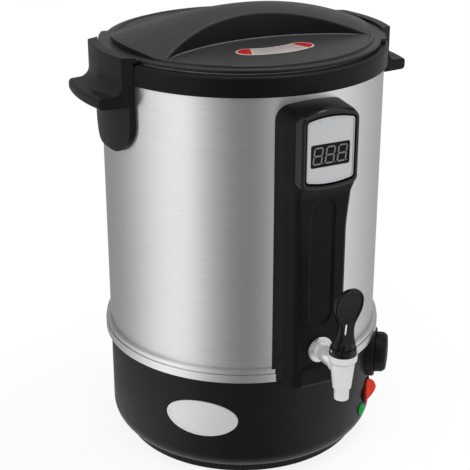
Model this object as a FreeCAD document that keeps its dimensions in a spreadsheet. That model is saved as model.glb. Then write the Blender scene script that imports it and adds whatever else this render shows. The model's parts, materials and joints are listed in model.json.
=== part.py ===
import FreeCAD, Part
import math
import os
import Sketcher
from FreeCAD import Placement, Rotation, Vector

# Candle wax melter: an upright heated pot with a tap at its foot.
# Frame: origin on the floor under the pot's axis, +Z up, the tap faces -Y and the
# two handles lie on +X and -X. Millimetres and degrees.

SIZES = {
    # feet and bottom cover
    "foot_stand": 2.5,
    "foot_radius": 9.0,
    "foot_inset": 13.5,
    "foot_turn": -24.0,
    "foot_count": 4,
    "cover_lift": 2.5,
    "cover_wall": 2.0,
    "cover_gap": 0.3,
    # base housing, its top level the one that the parts above are measured from
    "skirt_inset": 13.5,
    "skirt_height": 8.0,
    "chin_inset": 9.0,
    "chin_height": 1.2,
    "chin_curve": 18.0,
    "chin_rise": 15.588,
    "base_wall": 3.0,
    "base_top": 110.0,
    "spigot_height": 8.0,
    "boss_radius": 4.0,
    "boss_inset": 9.0,
    "boss_height": 10.0,
    "boss_turn": 45.0,
    "boss_count": 4,
    "screw_radius": 1.5,
    "screw_head_radius": 3.0,
    "screw_head_height": 1.8,
    "screw_bite": 7.0,
    # barrel, trim band and top ring
    "barrel_radius": 130.0,
    "barrel_height": 262.5,
    "barrel_wall": 0.8,
    "seat_gap": 0.2,
    "band_drop": 2.8,
    "band_lower_rise": 4.8,
    "band_lower_height": 7.9,
    "band_groove": 0.6,
    "band_groove_rise": 3.2,
    "band_bead_rise": 4.0,
    "band_bead_height": 3.8,
    "ring_wall": 3.0,
    "ring_height": 17.5,
    "ring_edge": 3.0,
    "ring_inner_wall": 3.3,
    "ring_web": 4.0,
    # pot and heater
    "pot_inset": 12.0,
    "pot_wall": 1.0,
    "pot_floor_rise": 16.0,
    "pot_corner": 3.0,
    "pot_rim_width": 5.7,
    "heater_radius": 80.0,
    "heater_wall": 6.0,
    "element_circle": 55.0,
    "element_radius": 3.2,
    "element_gap": 0.1,
    "terminal_length": 14.0,
    "terminal_spread": 7.0,
    "stud_radius": 4.0,
    "stud_length": 14.0,
    "nut_width": 13.0,
    "nut_height": 6.0,
    "cutout_radius": 8.0,
    "cutout_height": 8.0,
    "cutout_offset": 30.0,
    "shield_gap": 4.0,
    "shield_wall": 1.0,
    "shield_drop": 10.0,
    "shield_hole": 12.0,
    # lid
    "lid_gap": 1.2,
    "lid_flange_reach": 2.6,
    "lid_flange_wall": 3.0,
    "lid_flange_round": 1.0,
    "lid_rim_inset": 6.5,
    "lid_rim_height": 2.1,
    "lid_rim_width": 3.2,
    "lid_floor_drop": 1.1,
    "lid_wall": 3.0,
    "lid_lug_reach": 4.6,
    "lid_lug_start": 55.0,
    "lid_lug_end": 110.0,
    "lid_lug_taper": 2.5,
    "lid_lug_bite": 2.0,
    "ridge_half_width": 21.5,
    "ridge_plan_radius": 165.0,
    "ridge_edge_height": 27.6,
    "ridge_edge_radius": 239.0,
    "ridge_crest_height": 33.0,
    "ridge_crest_radius": 320.0,
    "ridge_round": 2.0,
    "ridge_root": 10.0,
    "liner_gap": 1.7,
    "liner_depth": 7.2,
    "liner_wall": 0.8,
    "liner_screw_inset": 31.8,
    "liner_screw_turn": 45.0,
    "liner_screw_count": 4,
    "seal_width": 4.2,
    "seal_gap": 0.1,
    # handles
    "guard_wall": 7.6,
    "guard_rise": 6.5,
    "guard_half_width": 39.5,
    "guard_back_half_width": 43.6,
    "guard_curve": 9.0,
    "guard_round": 1.2,
    "lip_reach": 1.7,
    "lip_height": 4.2,
    "lip_round": 0.8,
    "shelf_reach": 19.4,
    "shelf_drop": 26.7,
    "shelf_wall": 10.3,
    "shelf_half_width": 37.0,
    "shelf_splay": 3.0,
    "shelf_corner": 9.0,
    "shelf_round": 3.5,
    "shelf_rib_offset": 12.0,
    "shelf_rib_wall": 2.0,
    "shelf_hollow_half_angle": 13.0,
    "tab_wall": 5.3,
    "tab_height": 64.8,
    "tab_half_width": 40.0,
    "tab_corner": 28.0,
    "handle_wall": 3.0,
    "handle_half_angle": 30.0,
    "handle_screw_drop": 37.3,
    "handle_screw_offset": 18.0,
    "handle_screw_skin": 1.0,
    # control column
    "column_half_base": 34.0,
    "column_shoulder_half": 25.5,
    "column_shoulder_rise": 18.0,
    "column_front_half": 22.0,
    "column_depth": 21.0,
    "column_drop": 3.5,
    "column_wall": 3.0,
    "column_edge": 3.0,
    "column_gap": 0.1,
    "column_screw_rise": 80.0,
    "column_screw_drop": 30.0,
    "pad_height": 20.9,
    "pad_rise": 2.4,
    "pad_lift": 1.5,
    "pad_brow": 1.0,
    "pad_chin": 2.5,
    "pad_round": 2.0,
    "pad_corner": 8.0,
    "track_half_width": 11.8,
    "track_drop": 13.8,
    "track_rise": 24.0,
    "track_depth": 1.6,
    # display head
    "display_drop": 72.5,
    "display_half_base": 34.0,
    "display_shoulder_half": 30.8,
    "display_front_half": 27.0,
    "display_step": 9.0,
    "display_side_height": 59.0,
    "display_arch": 7.5,
    "display_sink": 10.0,
    "display_brow": 6.0,
    "display_back_rise": 5.0,
    "display_back_arch": 3.8,
    "display_corner": 9.0,
    "display_edge": 2.2,
    "display_skirt": 50.0,
    "display_flare": 2.9,
    "label_half_width": 21.6,
    "label_rise": 6.8,
    "label_height": 49.0,
    "label_arch": 3.0,
    "label_corner": 2.0,
    "label_wall": 1.0,
    "label_recess": 1.8,
    "label_margin": 2.2,
    "frame_width": 1.0,
    "fit_gap": 0.1,
    "window_half_width": 18.3,
    "window_rise": 20.5,
    "window_half_height": 9.7,
    "window_wall": 0.8,
    "led_depth": 8.0,
    "board_half_width": 22.0,
    "board_half_height": 22.0,
    "board_wall": 1.6,
    "probe_rise": 95.0,
    "probe_radius": 5.0,
    "probe_depth": 3.5,
    # tap
    "tap_rise": 32.5,
    "tap_stand": 39.0,
    "shank_radius": 7.5,
    "shank_bore": 5.0,
    "shank_flange_radius": 12.0,
    "shank_flange_wall": 2.8,
    "shank_flange_round": 1.2,
    "shank_end_gap": 8.8,
    "shank_tail": 11.0,
    "shank_gap": 0.1,
    "washer_radius": 12.0,
    "washer_wall": 2.4,
    "spacer_radius": 10.0,
    "tap_nut_width": 24.0,
    "tap_nut_height": 6.0,
    "spout_radius": 7.0,
    "spout_bore": 5.0,
    "spout_length": 10.4,
    "cone_drop": 19.5,
    "cone_bottom_radius": 9.0,
    "cone_top_radius": 11.5,
    "cone_rise": 1.3,
    "collar_low_radius": 12.9,
    "collar_radius": 13.9,
    "collar_rise": 3.8,
    "collar_height": 6.2,
    "seat_drop": 14.5,
    "valve_bore": 4.0,
    "chamber_radius": 8.2,
    "plunger_radius": 6.4,
    "plunger_height": 6.0,
    "plunger_gap": 0.1,
    "stem_radius": 2.5,
    "stem_gap": 0.05,
    "spring_seat_radius": 5.4,
    "spring_seat_wall": 1.2,
    "spring_radius": 4.2,
    "spring_wire": 0.45,
    "spring_turns": 3,
    "bonnet_plug_depth": 6.0,
    "bonnet_radius": 13.4,
    "bonnet_height": 4.6,
    "bonnet_round": 1.8,
    "bonnet_scallops": 10,
    "bonnet_scallop_radius": 2.2,
    "lever_clearance": 0.4,
    "lever_pin_rise": 4.0,
    "lever_pin_radius": 1.2,
    "lever_bore_gap": 0.05,
    "lever_hub_half_width": 11.9,
    "lever_hub_half_depth": 6.5,
    "lever_slot_half_width": 3.3,
    "lever_slot_rise": 4.5,
    "lever_slot_wall": 1.5,
    "stem_head_half_width": 3.0,
    "lever_neck_rise": 19.5,
    "lever_neck_half_width": 7.3,
    "lever_neck_lean": 2.9,
    "lever_neck_half_depth": 4.4,
    "lever_paddle_rise": 43.0,
    "lever_paddle_half_width": 14.0,
    "lever_paddle_lean": 5.6,
    "lever_paddle_half_depth": 3.4,
    "lever_tip_rise": 60.0,
    "lever_tip_lean": 9.8,
    # heat dial; the runs of dial, switch, lamp and badge are measured along the wall from the front
    "dial_run": 116.849793421,  # 51.5 degrees round
    "dial_drop": 27.6,
    "dial_boss_radius": 24.5,
    "dial_boss_rise": 4.0,
    "dial_boss_sink": 5.0,
    "dial_plate_wall": 1.4,
    "dial_plate_radius": 24.2,
    "knob_radius": 20.0,
    "knob_height": 11.8,
    "knob_gap": 0.5,
    "knob_round": 2.2,
    "knob_draft": 0.8,
    "knob_wall": 2.5,
    "knob_hub_radius": 5.5,
    "knob_hub_gap": 0.4,
    "knob_shaft_gap": 3.7,
    "shaft_radius": 3.0,
    "shaft_gap": 0.05,
    "shaft_tail": 17.0,
    "bushing_radius": 5.0,
    "bushing_rise": 2.0,
    "thermostat_radius": 15.0,
    "thermostat_depth": 24.0,
    # rocker switch
    "rocker_run": 101.647975636,  # 44.8 degrees round
    "rocker_drop": 63.5,
    "rocker_radius": 10.9,
    "rocker_gap": 1.45,
    "rocker_frame_wall": 0.6,
    "rocker_flange_radius": 13.5,
    "rocker_flange_rise": 1.6,
    "rocker_valley": 2.2,
    "rocker_slope": 13.0,
    "rocker_tilt": 13.0,
    "rocker_pivot_depth": 2.0,
    "rocker_back": 6.0,
    "rocker_back_round": 1.5,
    "rocker_tip_round": 0.8,
    "rocker_pin_radius": 1.2,
    "rocker_pin_gap": 0.05,
    "rocker_pin_reach": 12.6,
    "switch_cavity": 11.0,
    "switch_depth": 19.0,
    "blade_length": 7.0,
    "blade_offset": 4.0,
    "blade_half_wall": 0.4,
    "blade_half_height": 3.0,
    # indicator lamp
    "lamp_run": 85.311693837,  # 37.6 degrees round
    "lamp_drop": 77.0,
    "lamp_radius": 5.9,
    "lamp_rise": 3.6,
    "lamp_brim": 1.0,
    "lamp_bezel_radius": 6.9,
    "lamp_bezel_rise": 1.3,
    "lamp_body_radius": 4.6,
    "lamp_body_depth": 15.0,
    "lamp_gap": 0.1,
    # mains inlet at the back
    "inlet_drop": 60.0,
    "inlet_half_width": 12.2,
    "inlet_half_height": 8.2,
    "inlet_wall": 1.8,
    "inlet_chamfer": 4.0,
    "inlet_corner": 1.0,
    "inlet_flange": 4.5,
    "inlet_flange_corner": 3.0,
    "inlet_rise": 2.4,
    "inlet_depth": 17.0,
    "inlet_pin_half_width": 1.0,
    "inlet_pin_half_height": 2.0,
    "inlet_pin_spread": 7.0,
    "inlet_pin_offset": 4.0,
    "inlet_pin_recess": 6.2,
    "inlet_pin_tail": 8.0,
    # badge
    "badge_run": -99.832833214,  # 44 degrees round, on the left
    "badge_drop": 45.1,
    "badge_half_width": 34.5,
    "badge_half_height": 18.0,
    "badge_wall": 0.7,
    "badge_border": 1.8,
    "badge_border_rise": 0.3,
}

# Levels and radii that follow from the sizes above.
PLACES = {
    "skirt_radius": "barrel_radius - skirt_inset",
    "skirt_bottom": "foot_stand",
    "skirt_top": "foot_stand + skirt_height",
    "skirt_inside": "skirt_radius - base_wall",
    "chin_radius": "barrel_radius - chin_inset",
    "chin_bottom": "skirt_top + chin_height",
    "chin_top": "chin_bottom + chin_rise",
    "cover_radius": "skirt_inside - cover_gap",
    "cover_level": "foot_stand + cover_lift",
    "cover_top": "cover_level + cover_wall",
    "foot_circle": "skirt_radius - foot_inset",
    "foot_screw_seat": "screw_head_height + screw_head_height",
    "boss_circle": "skirt_radius - boss_inset",
    "ledge_radius": "skirt_inside - base_wall",
    "ledge_top": "cover_top + base_wall",
    "base_inside": "barrel_radius - base_wall",
    "spigot_top": "base_top + spigot_height",
    "barrel_inside": "barrel_radius - barrel_wall",
    "spigot_radius": "barrel_inside - seat_gap",
    "spigot_inside": "spigot_radius - base_wall",
    "band_inside": "barrel_radius + seat_gap",
    "band_lower_radius": "barrel_radius + band_lower_rise",
    "band_groove_radius": "barrel_radius + band_groove_rise",
    "band_bead_radius": "barrel_radius + band_bead_rise",
    "band_bottom": "base_top - band_drop",
    "band_lower_top": "band_bottom + band_lower_height",
    "band_bead_bottom": "band_lower_top + band_groove",
    "band_top": "band_bead_bottom + band_bead_height",
    "ring_radius": "barrel_radius + ring_wall",
    "ring_bottom": "base_top + barrel_height",
    "ring_top": "ring_bottom + ring_height",
    "groove_outer": "barrel_radius + seat_gap",
    "groove_inner": "barrel_inside - seat_gap",
    "ring_inside": "groove_inner - ring_inner_wall",
    "groove_top": "ring_top - ring_web",
    "barrel_top": "groove_top - seat_gap",
    "pot_radius": "barrel_radius - pot_inset",
    "pot_outside": "pot_radius + pot_wall",
    "pot_rim_radius": "pot_radius + pot_rim_width",
    "pot_floor": "base_top + pot_floor_rise",
    "pot_inner_floor": "pot_floor + pot_wall",
    "rim_hole": "pot_outside + seat_gap",
    "rim_seat_radius": "pot_rim_radius + seat_gap",
    "rim_seat": "ring_top - pot_wall",
    "heater_bottom": "pot_floor - heater_wall",
    "stud_bottom": "pot_floor - stud_length",
    "shield_radius": "pot_radius + shield_gap",
    "shield_inside": "shield_radius - shield_wall",
    "shield_top": "spigot_top + shield_wall",
    "shield_floor": "base_top - shield_drop",
    "shield_floor_top": "shield_floor + shield_wall",
    "lid_bottom": "ring_top + lid_gap",
    "lid_flange_radius": "pot_rim_radius + lid_flange_reach",
    "lid_flange_top": "lid_bottom + lid_flange_wall",
    "lid_rim_radius": "lid_flange_radius - lid_rim_inset",
    "lid_rim_top": "lid_flange_top + lid_rim_height",
    "lid_floor": "lid_rim_top - lid_floor_drop",
    "lid_lug_radius": "lid_flange_radius + lid_lug_reach",
    "liner_radius": "pot_radius - liner_gap",
    "liner_top": "lid_bottom - seal_gap",
    "liner_bottom": "lid_bottom - liner_depth",
    "liner_screw_circle": "lid_rim_radius - liner_screw_inset",
    "seal_bottom": "ring_top + seal_gap",
    "seal_top": "lid_bottom - seal_gap",
    "seal_radius": "pot_rim_radius - seal_gap",
    "seal_inner_radius": "seal_radius - seal_width",
    "guard_radius": "ring_radius + guard_wall",
    "guard_top": "ring_top + guard_rise",
    "lip_radius": "ring_radius - lip_reach",
    "lip_bottom": "guard_top - lip_height",
    "handle_back": "ring_radius + seat_gap",
    "shelf_radius": "guard_radius + shelf_reach",
    "shelf_top": "ring_top - shelf_drop",
    "shelf_bottom": "shelf_top - shelf_wall",
    "tab_radius": "barrel_radius + tab_wall",
    "tab_back": "barrel_radius + column_gap",
    "tab_top": "ring_bottom - seat_gap",
    "tab_bottom": "tab_top - tab_height",
    "handle_screw_level": "tab_top - handle_screw_drop",
    "handle_screw_end": "tab_radius - handle_screw_skin",
    "column_bottom": "base_top - column_drop",
    "column_shoulder": "barrel_radius + column_shoulder_rise",
    "column_front": "barrel_radius + column_depth",
    "column_screw_low": "base_top + column_screw_rise",
    "column_screw_high": "display_bottom - column_screw_drop",
    "pad_top": "column_bottom + pad_height",
    "track_bottom": "tap_level + track_rise",
    "track_top": "display_bottom - track_drop",
    "display_bottom": "ring_bottom - display_drop",
    "display_side_top": "display_bottom + display_side_height",
    "display_back_side_top": "display_side_top + display_back_rise",
    "display_front": "column_front + display_step",
    "display_back": "barrel_radius - display_sink",
    "display_floor": "display_front - label_recess",
    "display_inside": "display_floor - column_wall",
    "board_front": "display_floor - led_depth",
    "label_bottom": "display_bottom + label_rise",
    "label_top": "label_bottom + label_height",
    "window_level": "label_bottom + window_rise",
    "probe_level": "base_top + probe_rise",
    "tap_level": "base_top + tap_rise",
    "tap_reach": "column_front + tap_stand",
    "shank_end": "tap_reach - shank_end_gap",
    "shank_back": "pot_radius - shank_tail",
    "spout_top": "tap_level - cone_drop",
    "spout_bottom": "spout_top - spout_length",
    "cone_top": "tap_level + cone_rise",
    "collar_bottom": "tap_level + collar_rise",
    "collar_top": "collar_bottom + collar_height",
    "valve_seat": "tap_level - seat_drop",
    "bonnet_top": "collar_top + bonnet_height",
    "bonnet_plug": "collar_top - bonnet_plug_depth",
    "plug_radius": "chamber_radius - plunger_gap",
    "stem_hole": "stem_radius + stem_gap",
    "plunger_bottom": "valve_seat + plunger_gap",
    "plunger_top": "plunger_bottom + plunger_height",
    "lever_bottom": "bonnet_top + lever_clearance",
    "lever_pin_level": "lever_bottom + lever_pin_rise",
    "lever_neck_level": "lever_pin_level + lever_neck_rise",
    "lever_paddle_level": "lever_pin_level + lever_paddle_rise",
    "lever_tip_level": "lever_pin_level + lever_tip_rise",
    "dial_level": "base_top - dial_drop",
    "dial_boss_face": "barrel_radius + dial_boss_rise",
    "dial_boss_back": "barrel_radius - dial_boss_sink",
    "dial_face": "dial_boss_face + dial_plate_wall",
    "knob_back": "dial_face + knob_gap",
    "knob_face": "dial_face + knob_height",
    "knob_inside": "knob_face - knob_wall",
    "knob_shaft_reach": "knob_face - knob_shaft_gap",
    "shaft_back": "dial_boss_back - shaft_tail",
    "bushing_reach": "dial_boss_face + bushing_rise",
    "thermostat_back": "dial_boss_back - thermostat_depth",
    "rocker_level": "base_top - rocker_drop",
    "rocker_cavity_radius": "rocker_radius + rocker_gap",
    "switch_radius": "rocker_cavity_radius + rocker_frame_wall",
    "switch_hole": "switch_radius + fit_gap",
    "switch_face": "barrel_radius + rocker_flange_rise",
    "switch_back": "barrel_radius - switch_depth",
    "lamp_level": "base_top - lamp_drop",
    "inlet_level": "base_top - inlet_drop",
    "inlet_face": "barrel_radius + inlet_rise",
    "inlet_back": "barrel_radius - inlet_depth",
    "badge_level": "base_top - badge_drop",
}

doc = FreeCAD.newDocument("CandleWaxMelter")
sheet = doc.addObject("Spreadsheet::Sheet", "Sizes")
for row, (name, number) in enumerate(SIZES.items(), 1):
    sheet.set("A%d" % row, str(number))
    sheet.setAlias("A%d" % row, name)
doc.recompute()

UP = Vector(0, 0, 1)
CENTRE = Vector(0, 0, 0)
# a sketch counts its own level and upright axes down from -1
ORIGIN_AXIS, UPRIGHT_AXIS = range(-1, -3, -1)
# length that is longer than the whole object
FAR = 1000.0
# how far a cutting or trimming outline reaches past what it trims
MARGIN = 10.0
# how far one form is carried into another before they are joined
BITE = 1.0
NODES = []


def mm(rule):
    """Number of a rule: names of sizes and places joined by + and -."""
    total = 0.0
    sign = 1.0
    for word in rule.split():
        if word in ("+", "-"):
            sign = 1.0 if word == "+" else -1.0
        elif word in PLACES:
            total += sign * mm(PLACES[word])
        else:
            total += sign * float(sheet.get(word))
    return total


def formula(rule):
    """The same rule as an expression on the sheet's cells."""
    words = []
    for word in rule.split():
        if word in ("+", "-"):
            words.append(word)
        elif word in PLACES:
            words.append("(" + formula(PLACES[word]) + ")")
        else:
            words.append("Sizes." + word)
    return " ".join(words)


def keep(piece, label, placement=None):
    """Give a finished sub-part its label and place, and list it as a node."""
    piece.Label = label
    piece.Placement = placement or Placement()
    NODES.append(piece)
    return piece


def shaped(label, shape, placement=None):
    """Sub-part whose shape is made directly from the sheet's sizes."""
    piece = doc.addObject("Part::Feature", label)
    piece.Shape = shape
    return keep(piece, label, placement)


def facing_out(turn, level):
    """Place that points a piece's own Z outward from the pot's axis at an angle and level."""
    outward = Rotation(UP, turn) * Rotation(Vector(1, 0, 0), 90)
    return Placement(Vector(0, 0, level), outward)


def wall_turn(run):
    """Angle round the pot's axis of a run along the barrel's wall from the front."""
    return math.degrees(mm(run) / mm("barrel_radius"))


def turned_to(turn, level=0.0):
    """Place that turns a piece modelled at the front round the pot's axis."""
    return Placement(Vector(0, 0, level), Rotation(UP, turn))


# ---------------------------------------------------------------- part design helpers

def new_body(label):
    return doc.addObject("PartDesign::Body", label)


def new_sketch(body, role, offset=None):
    """Sketch on one of the body's own origin planes."""
    sketch = body.newObject("Sketcher::SketchObject", body.Name + "_sketch")
    for plane in body.Origin.OriginFeatures:
        if plane.Role == role:
            sketch.AttachmentSupport = [(plane, "")]
    sketch.MapMode = "FlatFace"
    if offset:
        sketch.AttachmentOffset = offset
    return sketch


def pin_coordinate(sketch, geometry, end, rule, kind, axis):
    """Tie one coordinate of a point to its rule, or to the axis when the rule is zero."""
    if rule == "zero":
        sketch.addConstraint(Sketcher.Constraint("PointOnObject", geometry, end, axis))
        return
    number = mm(rule)
    if number >= 0:
        ends = (-1, 1, geometry, end)
        tied = formula(rule)
    else:
        ends = (geometry, end, -1, 1)
        tied = "-(" + formula(rule) + ")"
    index = sketch.addConstraint(Sketcher.Constraint(kind, *ends, abs(number)))
    sketch.setExpression("Constraints[%d]" % index, tied)


def pin_point(sketch, geometry, end, corner):
    pin_coordinate(sketch, geometry, end, corner[0], "DistanceX", UPRIGHT_AXIS)
    pin_coordinate(sketch, geometry, end, corner[1], "DistanceY", ORIGIN_AXIS)


def spot(corner):
    """Point of a corner given by two rules."""
    across = 0.0 if corner[0] == "zero" else mm(corner[0])
    up = 0.0 if corner[1] == "zero" else mm(corner[1])
    return Vector(across, up, 0)


def outline(sketch, corners):
    """Closed outline through the corners, anticlockwise. A corner with a third entry starts
    an arc of that radius that leads to the next corner. The arc bulges out of the outline,
    or into it where a fourth entry says hollow."""
    starts = []
    ends = []
    for index, corner in enumerate(corners):
        following = corners[(index + 1) % len(corners)]
        first = spot(corner)
        last = spot(following)
        if len(corner) == 2:
            geometry = sketch.addGeometry(Part.LineSegment(first, last), False)
        else:
            radius = mm(corner[2])
            chord = last - first
            middle = (first + last) * 0.5
            inward = Vector(-chord.y, chord.x, 0).normalize()
            hollow = len(corner) == 4
            if hollow:
                inward = inward * -1
            reach = math.sqrt(radius ** 2 - (chord.Length / 2) ** 2)
            top = middle + inward * (reach - radius)
            arc = Part.Arc(last, top, first) if hollow else Part.Arc(first, top, last)
            geometry = sketch.addGeometry(arc, False)
            index_radius = sketch.addConstraint(Sketcher.Constraint("Radius", geometry, radius))
            sketch.setExpression("Constraints[%d]" % index_radius, formula(corner[2]))
        turned_back = len(corner) == 4
        starts.append((geometry, 2 if turned_back else 1))
        ends.append((geometry, 1 if turned_back else 2))
    for index, corner in enumerate(corners):
        before = ends[index - 1]
        sketch.addConstraint(Sketcher.Constraint("Coincident", *before, *starts[index]))
        pin_point(sketch, *starts[index], corner)


def circle(sketch, centre, radius):
    """Circle about a centre given by two rules."""
    geometry = sketch.addGeometry(Part.Circle(spot(centre), UP, mm(radius)), False)
    if centre == ("zero", "zero"):
        sketch.addConstraint(Sketcher.Constraint("Coincident", geometry, 3, -1, 1))
    else:
        pin_point(sketch, geometry, 3, centre)
    index = sketch.addConstraint(Sketcher.Constraint("Radius", geometry, mm(radius)))
    sketch.setExpression("Constraints[%d]" % index, formula(radius))


def revolve(body, corners):
    """Turn an outline of (radius, height) corners round the body's Z axis."""
    sketch = new_sketch(body, "XZ_Plane")
    outline(sketch, corners)
    feature = body.newObject("PartDesign::Revolution", body.Name + "_turn")
    feature.Profile = sketch
    feature.ReferenceAxis = (sketch, ["V_Axis"])
    feature.Angle = 360
    doc.recompute()
    return feature


def pad(body, sketch, length):
    feature = body.newObject("PartDesign::Pad", body.Name + "_pad")
    feature.Profile = sketch
    feature.setExpression("Length", formula(length))
    doc.recompute()
    return feature


def pocket(body, sketch, length, flip=False):
    """Cut a sketch from the body, and make sure that it removed something."""
    before = body.Shape.Volume
    feature = body.newObject("PartDesign::Pocket", body.Name + "_cut")
    feature.Profile = sketch
    feature.setExpression("Length", formula(length))
    feature.Reversed = flip
    doc.recompute()
    if not body.Shape.Volume < before:
        raise RuntimeError("a pocket of " + body.Name + " cuts nothing")
    return feature


def around(body, feature, count):
    """Repeat a feature round the body's Z axis."""
    pattern = body.newObject("PartDesign::PolarPattern", body.Name + "_round")
    pattern.Originals = [feature]
    for axis in body.Origin.OriginFeatures:
        if axis.Role == "Z_Axis":
            pattern.Axis = (axis, [""])
    pattern.Angle = 360
    pattern.setExpression("Occurrences", formula(count))
    body.Tip = pattern
    doc.recompute()
    return pattern


def round_rims(body, rims, radius):
    """Round the circular edges that lie at the given (radius, height) places."""
    base = body.Tip
    names = []
    for number, edge in enumerate(base.Shape.Edges, 1):
        if not isinstance(edge.Curve, Part.Circle):
            continue
        for rim in rims:
            off_radius = abs(edge.Curve.Radius - mm(rim[0]))
            off_level = abs(edge.Curve.Center.z - mm(rim[1]))
            if max(off_radius, off_level) < 1e-4:
                names.append("Edge%d" % number)
    feature = body.newObject("PartDesign::Fillet", body.Name + "_round")
    feature.Base = (base, names)
    feature.setExpression("Radius", formula(radius))
    doc.recompute()
    return feature


def turned(label, corners, placement=None):
    """Sub-part turned round its own Z axis from (radius, height) corners."""
    body = new_body(label)
    revolve(body, corners)
    return keep(body, label, placement)


# ---------------------------------------------------------------- solid helpers

def rod(radius, low, high):
    """Cylinder on the Z axis between two levels."""
    return Part.makeCylinder(radius, high - low, Vector(0, 0, low))


def outward_rod(radius, back, front, across=0.0, level=0.0):
    """Cylinder that points to -Y, between two distances from the pot's axis."""
    return Part.makeCylinder(radius, front - back, Vector(across, -back, level), Vector(0, -1, 0))


def block(low, high):
    """Box between two opposite corners."""
    size = Vector(*high) - Vector(*low)
    return Part.makeBox(size.x, size.y, size.z, Vector(*low))


def flat(u, v):
    return Vector(u, v, 0)


def front_view(u, v):
    return Vector(u, 0, v)


def side_view(u, v):
    return Vector(0, u, v)


def rounded(corners, plane):
    """Closed wire through (across, up, radius) corners; a radius over zero rounds the corner."""
    joins = []
    for index, corner in enumerate(corners):
        here = plane(corner[0], corner[1])
        if corner[2] <= 0:
            joins.append((here, here, here))
            continue
        before = corners[index - 1]
        after = corners[(index + 1) % len(corners)]
        back = (plane(before[0], before[1]) - here).normalize()
        on = (plane(after[0], after[1]) - here).normalize()
        half = back.getAngle(on) / 2
        start = here + back * (corner[2] / math.tan(half))
        end = here + on * (corner[2] / math.tan(half))
        middle_way = (back + on).normalize()
        centre = here + middle_way * (corner[2] / math.sin(half))
        top = centre - middle_way * corner[2]
        joins.append((start, top, end))
    edges = []
    for index, (start, top, end) in enumerate(joins):
        if (start - end).Length > 1e-6:
            edges.append(Part.Arc(start, top, end).toShape())
        following = joins[(index + 1) % len(joins)][0]
        if (following - end).Length > 1e-6:
            edges.append(Part.LineSegment(end, following).toShape())
    return Part.Wire(edges)


def prism(corners, plane, start, length):
    """Solid made by moving a rounded outline along a vector."""
    face = Part.Face(rounded(corners, plane))
    face.translate(start)
    return face.extrude(length)


def upright(corners, low, high):
    """Plan outline raised from one level to another."""
    return prism(corners, flat, Vector(0, 0, low), Vector(0, 0, high - low))


def forward(corners, back, front):
    """Front-view outline carried to -Y, between two distances from the pot's axis."""
    return prism(corners, front_view, Vector(0, -back, 0), Vector(0, back - front, 0))


def both_sides(half):
    """Symmetric outline: the right half's corners and their mirror images."""
    return half + [(-across, up, radius) for across, up, radius in reversed(half)]


def screw(head_radius, head_height, radius, length):
    """Screw with its head under z = 0 and its shank above."""
    return rod(head_radius, -head_height, 0).fuse(rod(radius, 0, length)).removeSplitter()


def copies(shape, placements):
    """One compound of a shape at several places."""
    solids = []
    for placement in placements:
        solid = shape.copy()
        solid.Placement = placement
        solids.append(solid)
    return Part.makeCompound(solids)


def on_circle(radius, first, count, level):
    """Places spread evenly on a circle round the pot's axis."""
    places = []
    for index in range(count):
        angle = math.radians(first + 360.0 * index / count)
        spot_here = Vector(radius * math.sin(angle), -radius * math.cos(angle), level)
        places.append(Placement(spot_here, Rotation()))
    return places


# ---------------------------------------------------------------- base

def make_base():
    """Black base: skirt, rounded chin, straight wall, and the spigot that the barrel fits over."""
    body = new_body("base_housing")
    revolve(body, [
        ("skirt_inside", "skirt_bottom"),
        ("skirt_radius", "skirt_bottom"),
        ("skirt_radius", "skirt_top"),
        ("chin_radius", "chin_bottom", "chin_curve"),
        ("barrel_radius", "chin_top"),
        ("barrel_radius", "base_top"),
        ("spigot_radius", "base_top"),
        ("spigot_radius", "spigot_top"),
        ("spigot_inside", "spigot_top"),
        ("spigot_inside", "base_top - base_wall"),
        ("base_inside", "base_top - base_wall - base_wall"),
        ("base_inside", "chin_top"),
        ("skirt_radius", "chin_bottom + base_wall"),
        ("ledge_radius", "ledge_top"),
        ("ledge_radius", "cover_top"),
        ("skirt_inside", "cover_top"),
    ])
    # four screw bosses beside the ledge
    boss_place = Placement(Vector(0, 0, mm("cover_top")), Rotation(UP, mm("boss_turn")))
    seat = new_sketch(body, "XY_Plane", boss_place)
    seat.setExpression("AttachmentOffset.Base.z", formula("cover_top"))
    circle(seat, ("boss_circle", "zero"), "boss_radius")
    bosses = pad(body, seat, "boss_height")
    around(body, bosses, "boss_count")
    holes = new_sketch(body, "XY_Plane", boss_place)
    holes.setExpression("AttachmentOffset.Base.z", formula("cover_top"))
    circle(holes, ("boss_circle", "zero"), "screw_radius")
    bores = pocket(body, holes, "screw_bite", flip=True)
    around(body, bores, "boss_count")
    # raised seat of the heat dial, with the hole for its bushing
    toward_dial = Rotation(Vector(0, 1, 0), wall_turn("dial_run"))
    seat_offset = toward_dial.multVec(Vector(0, 0, mm("dial_boss_back")))
    seat = new_sketch(body, "XZ_Plane", Placement(seat_offset, toward_dial))
    circle(seat, ("zero", "dial_level"), "dial_boss_radius")
    pad(body, seat, "dial_boss_face - dial_boss_back")
    cut_outward(body, "dial_run", "dial_level", "bushing_radius + fit_gap")
    cut_outward(body, "rocker_run", "rocker_level", "switch_hole")
    cut_outward(body, "lamp_run", "lamp_level", "lamp_body_radius + fit_gap")
    # mains inlet's opening at the back
    opening = new_sketch(body, "XZ_Plane", Placement(Vector(), Rotation(Vector(0, 1, 0), 180)))
    across = "inlet_half_width + inlet_wall + fit_gap"
    low = "inlet_level - inlet_half_height - inlet_wall - fit_gap"
    high = "inlet_level + inlet_half_height + inlet_wall + fit_gap"
    left = "- inlet_half_width - inlet_wall - fit_gap"
    outline(opening, [(left, low), (across, low), (across, high), (left, high)])
    pocket(body, opening, "barrel_radius + barrel_radius", flip=True)
    return keep(body, "base_housing")


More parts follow.
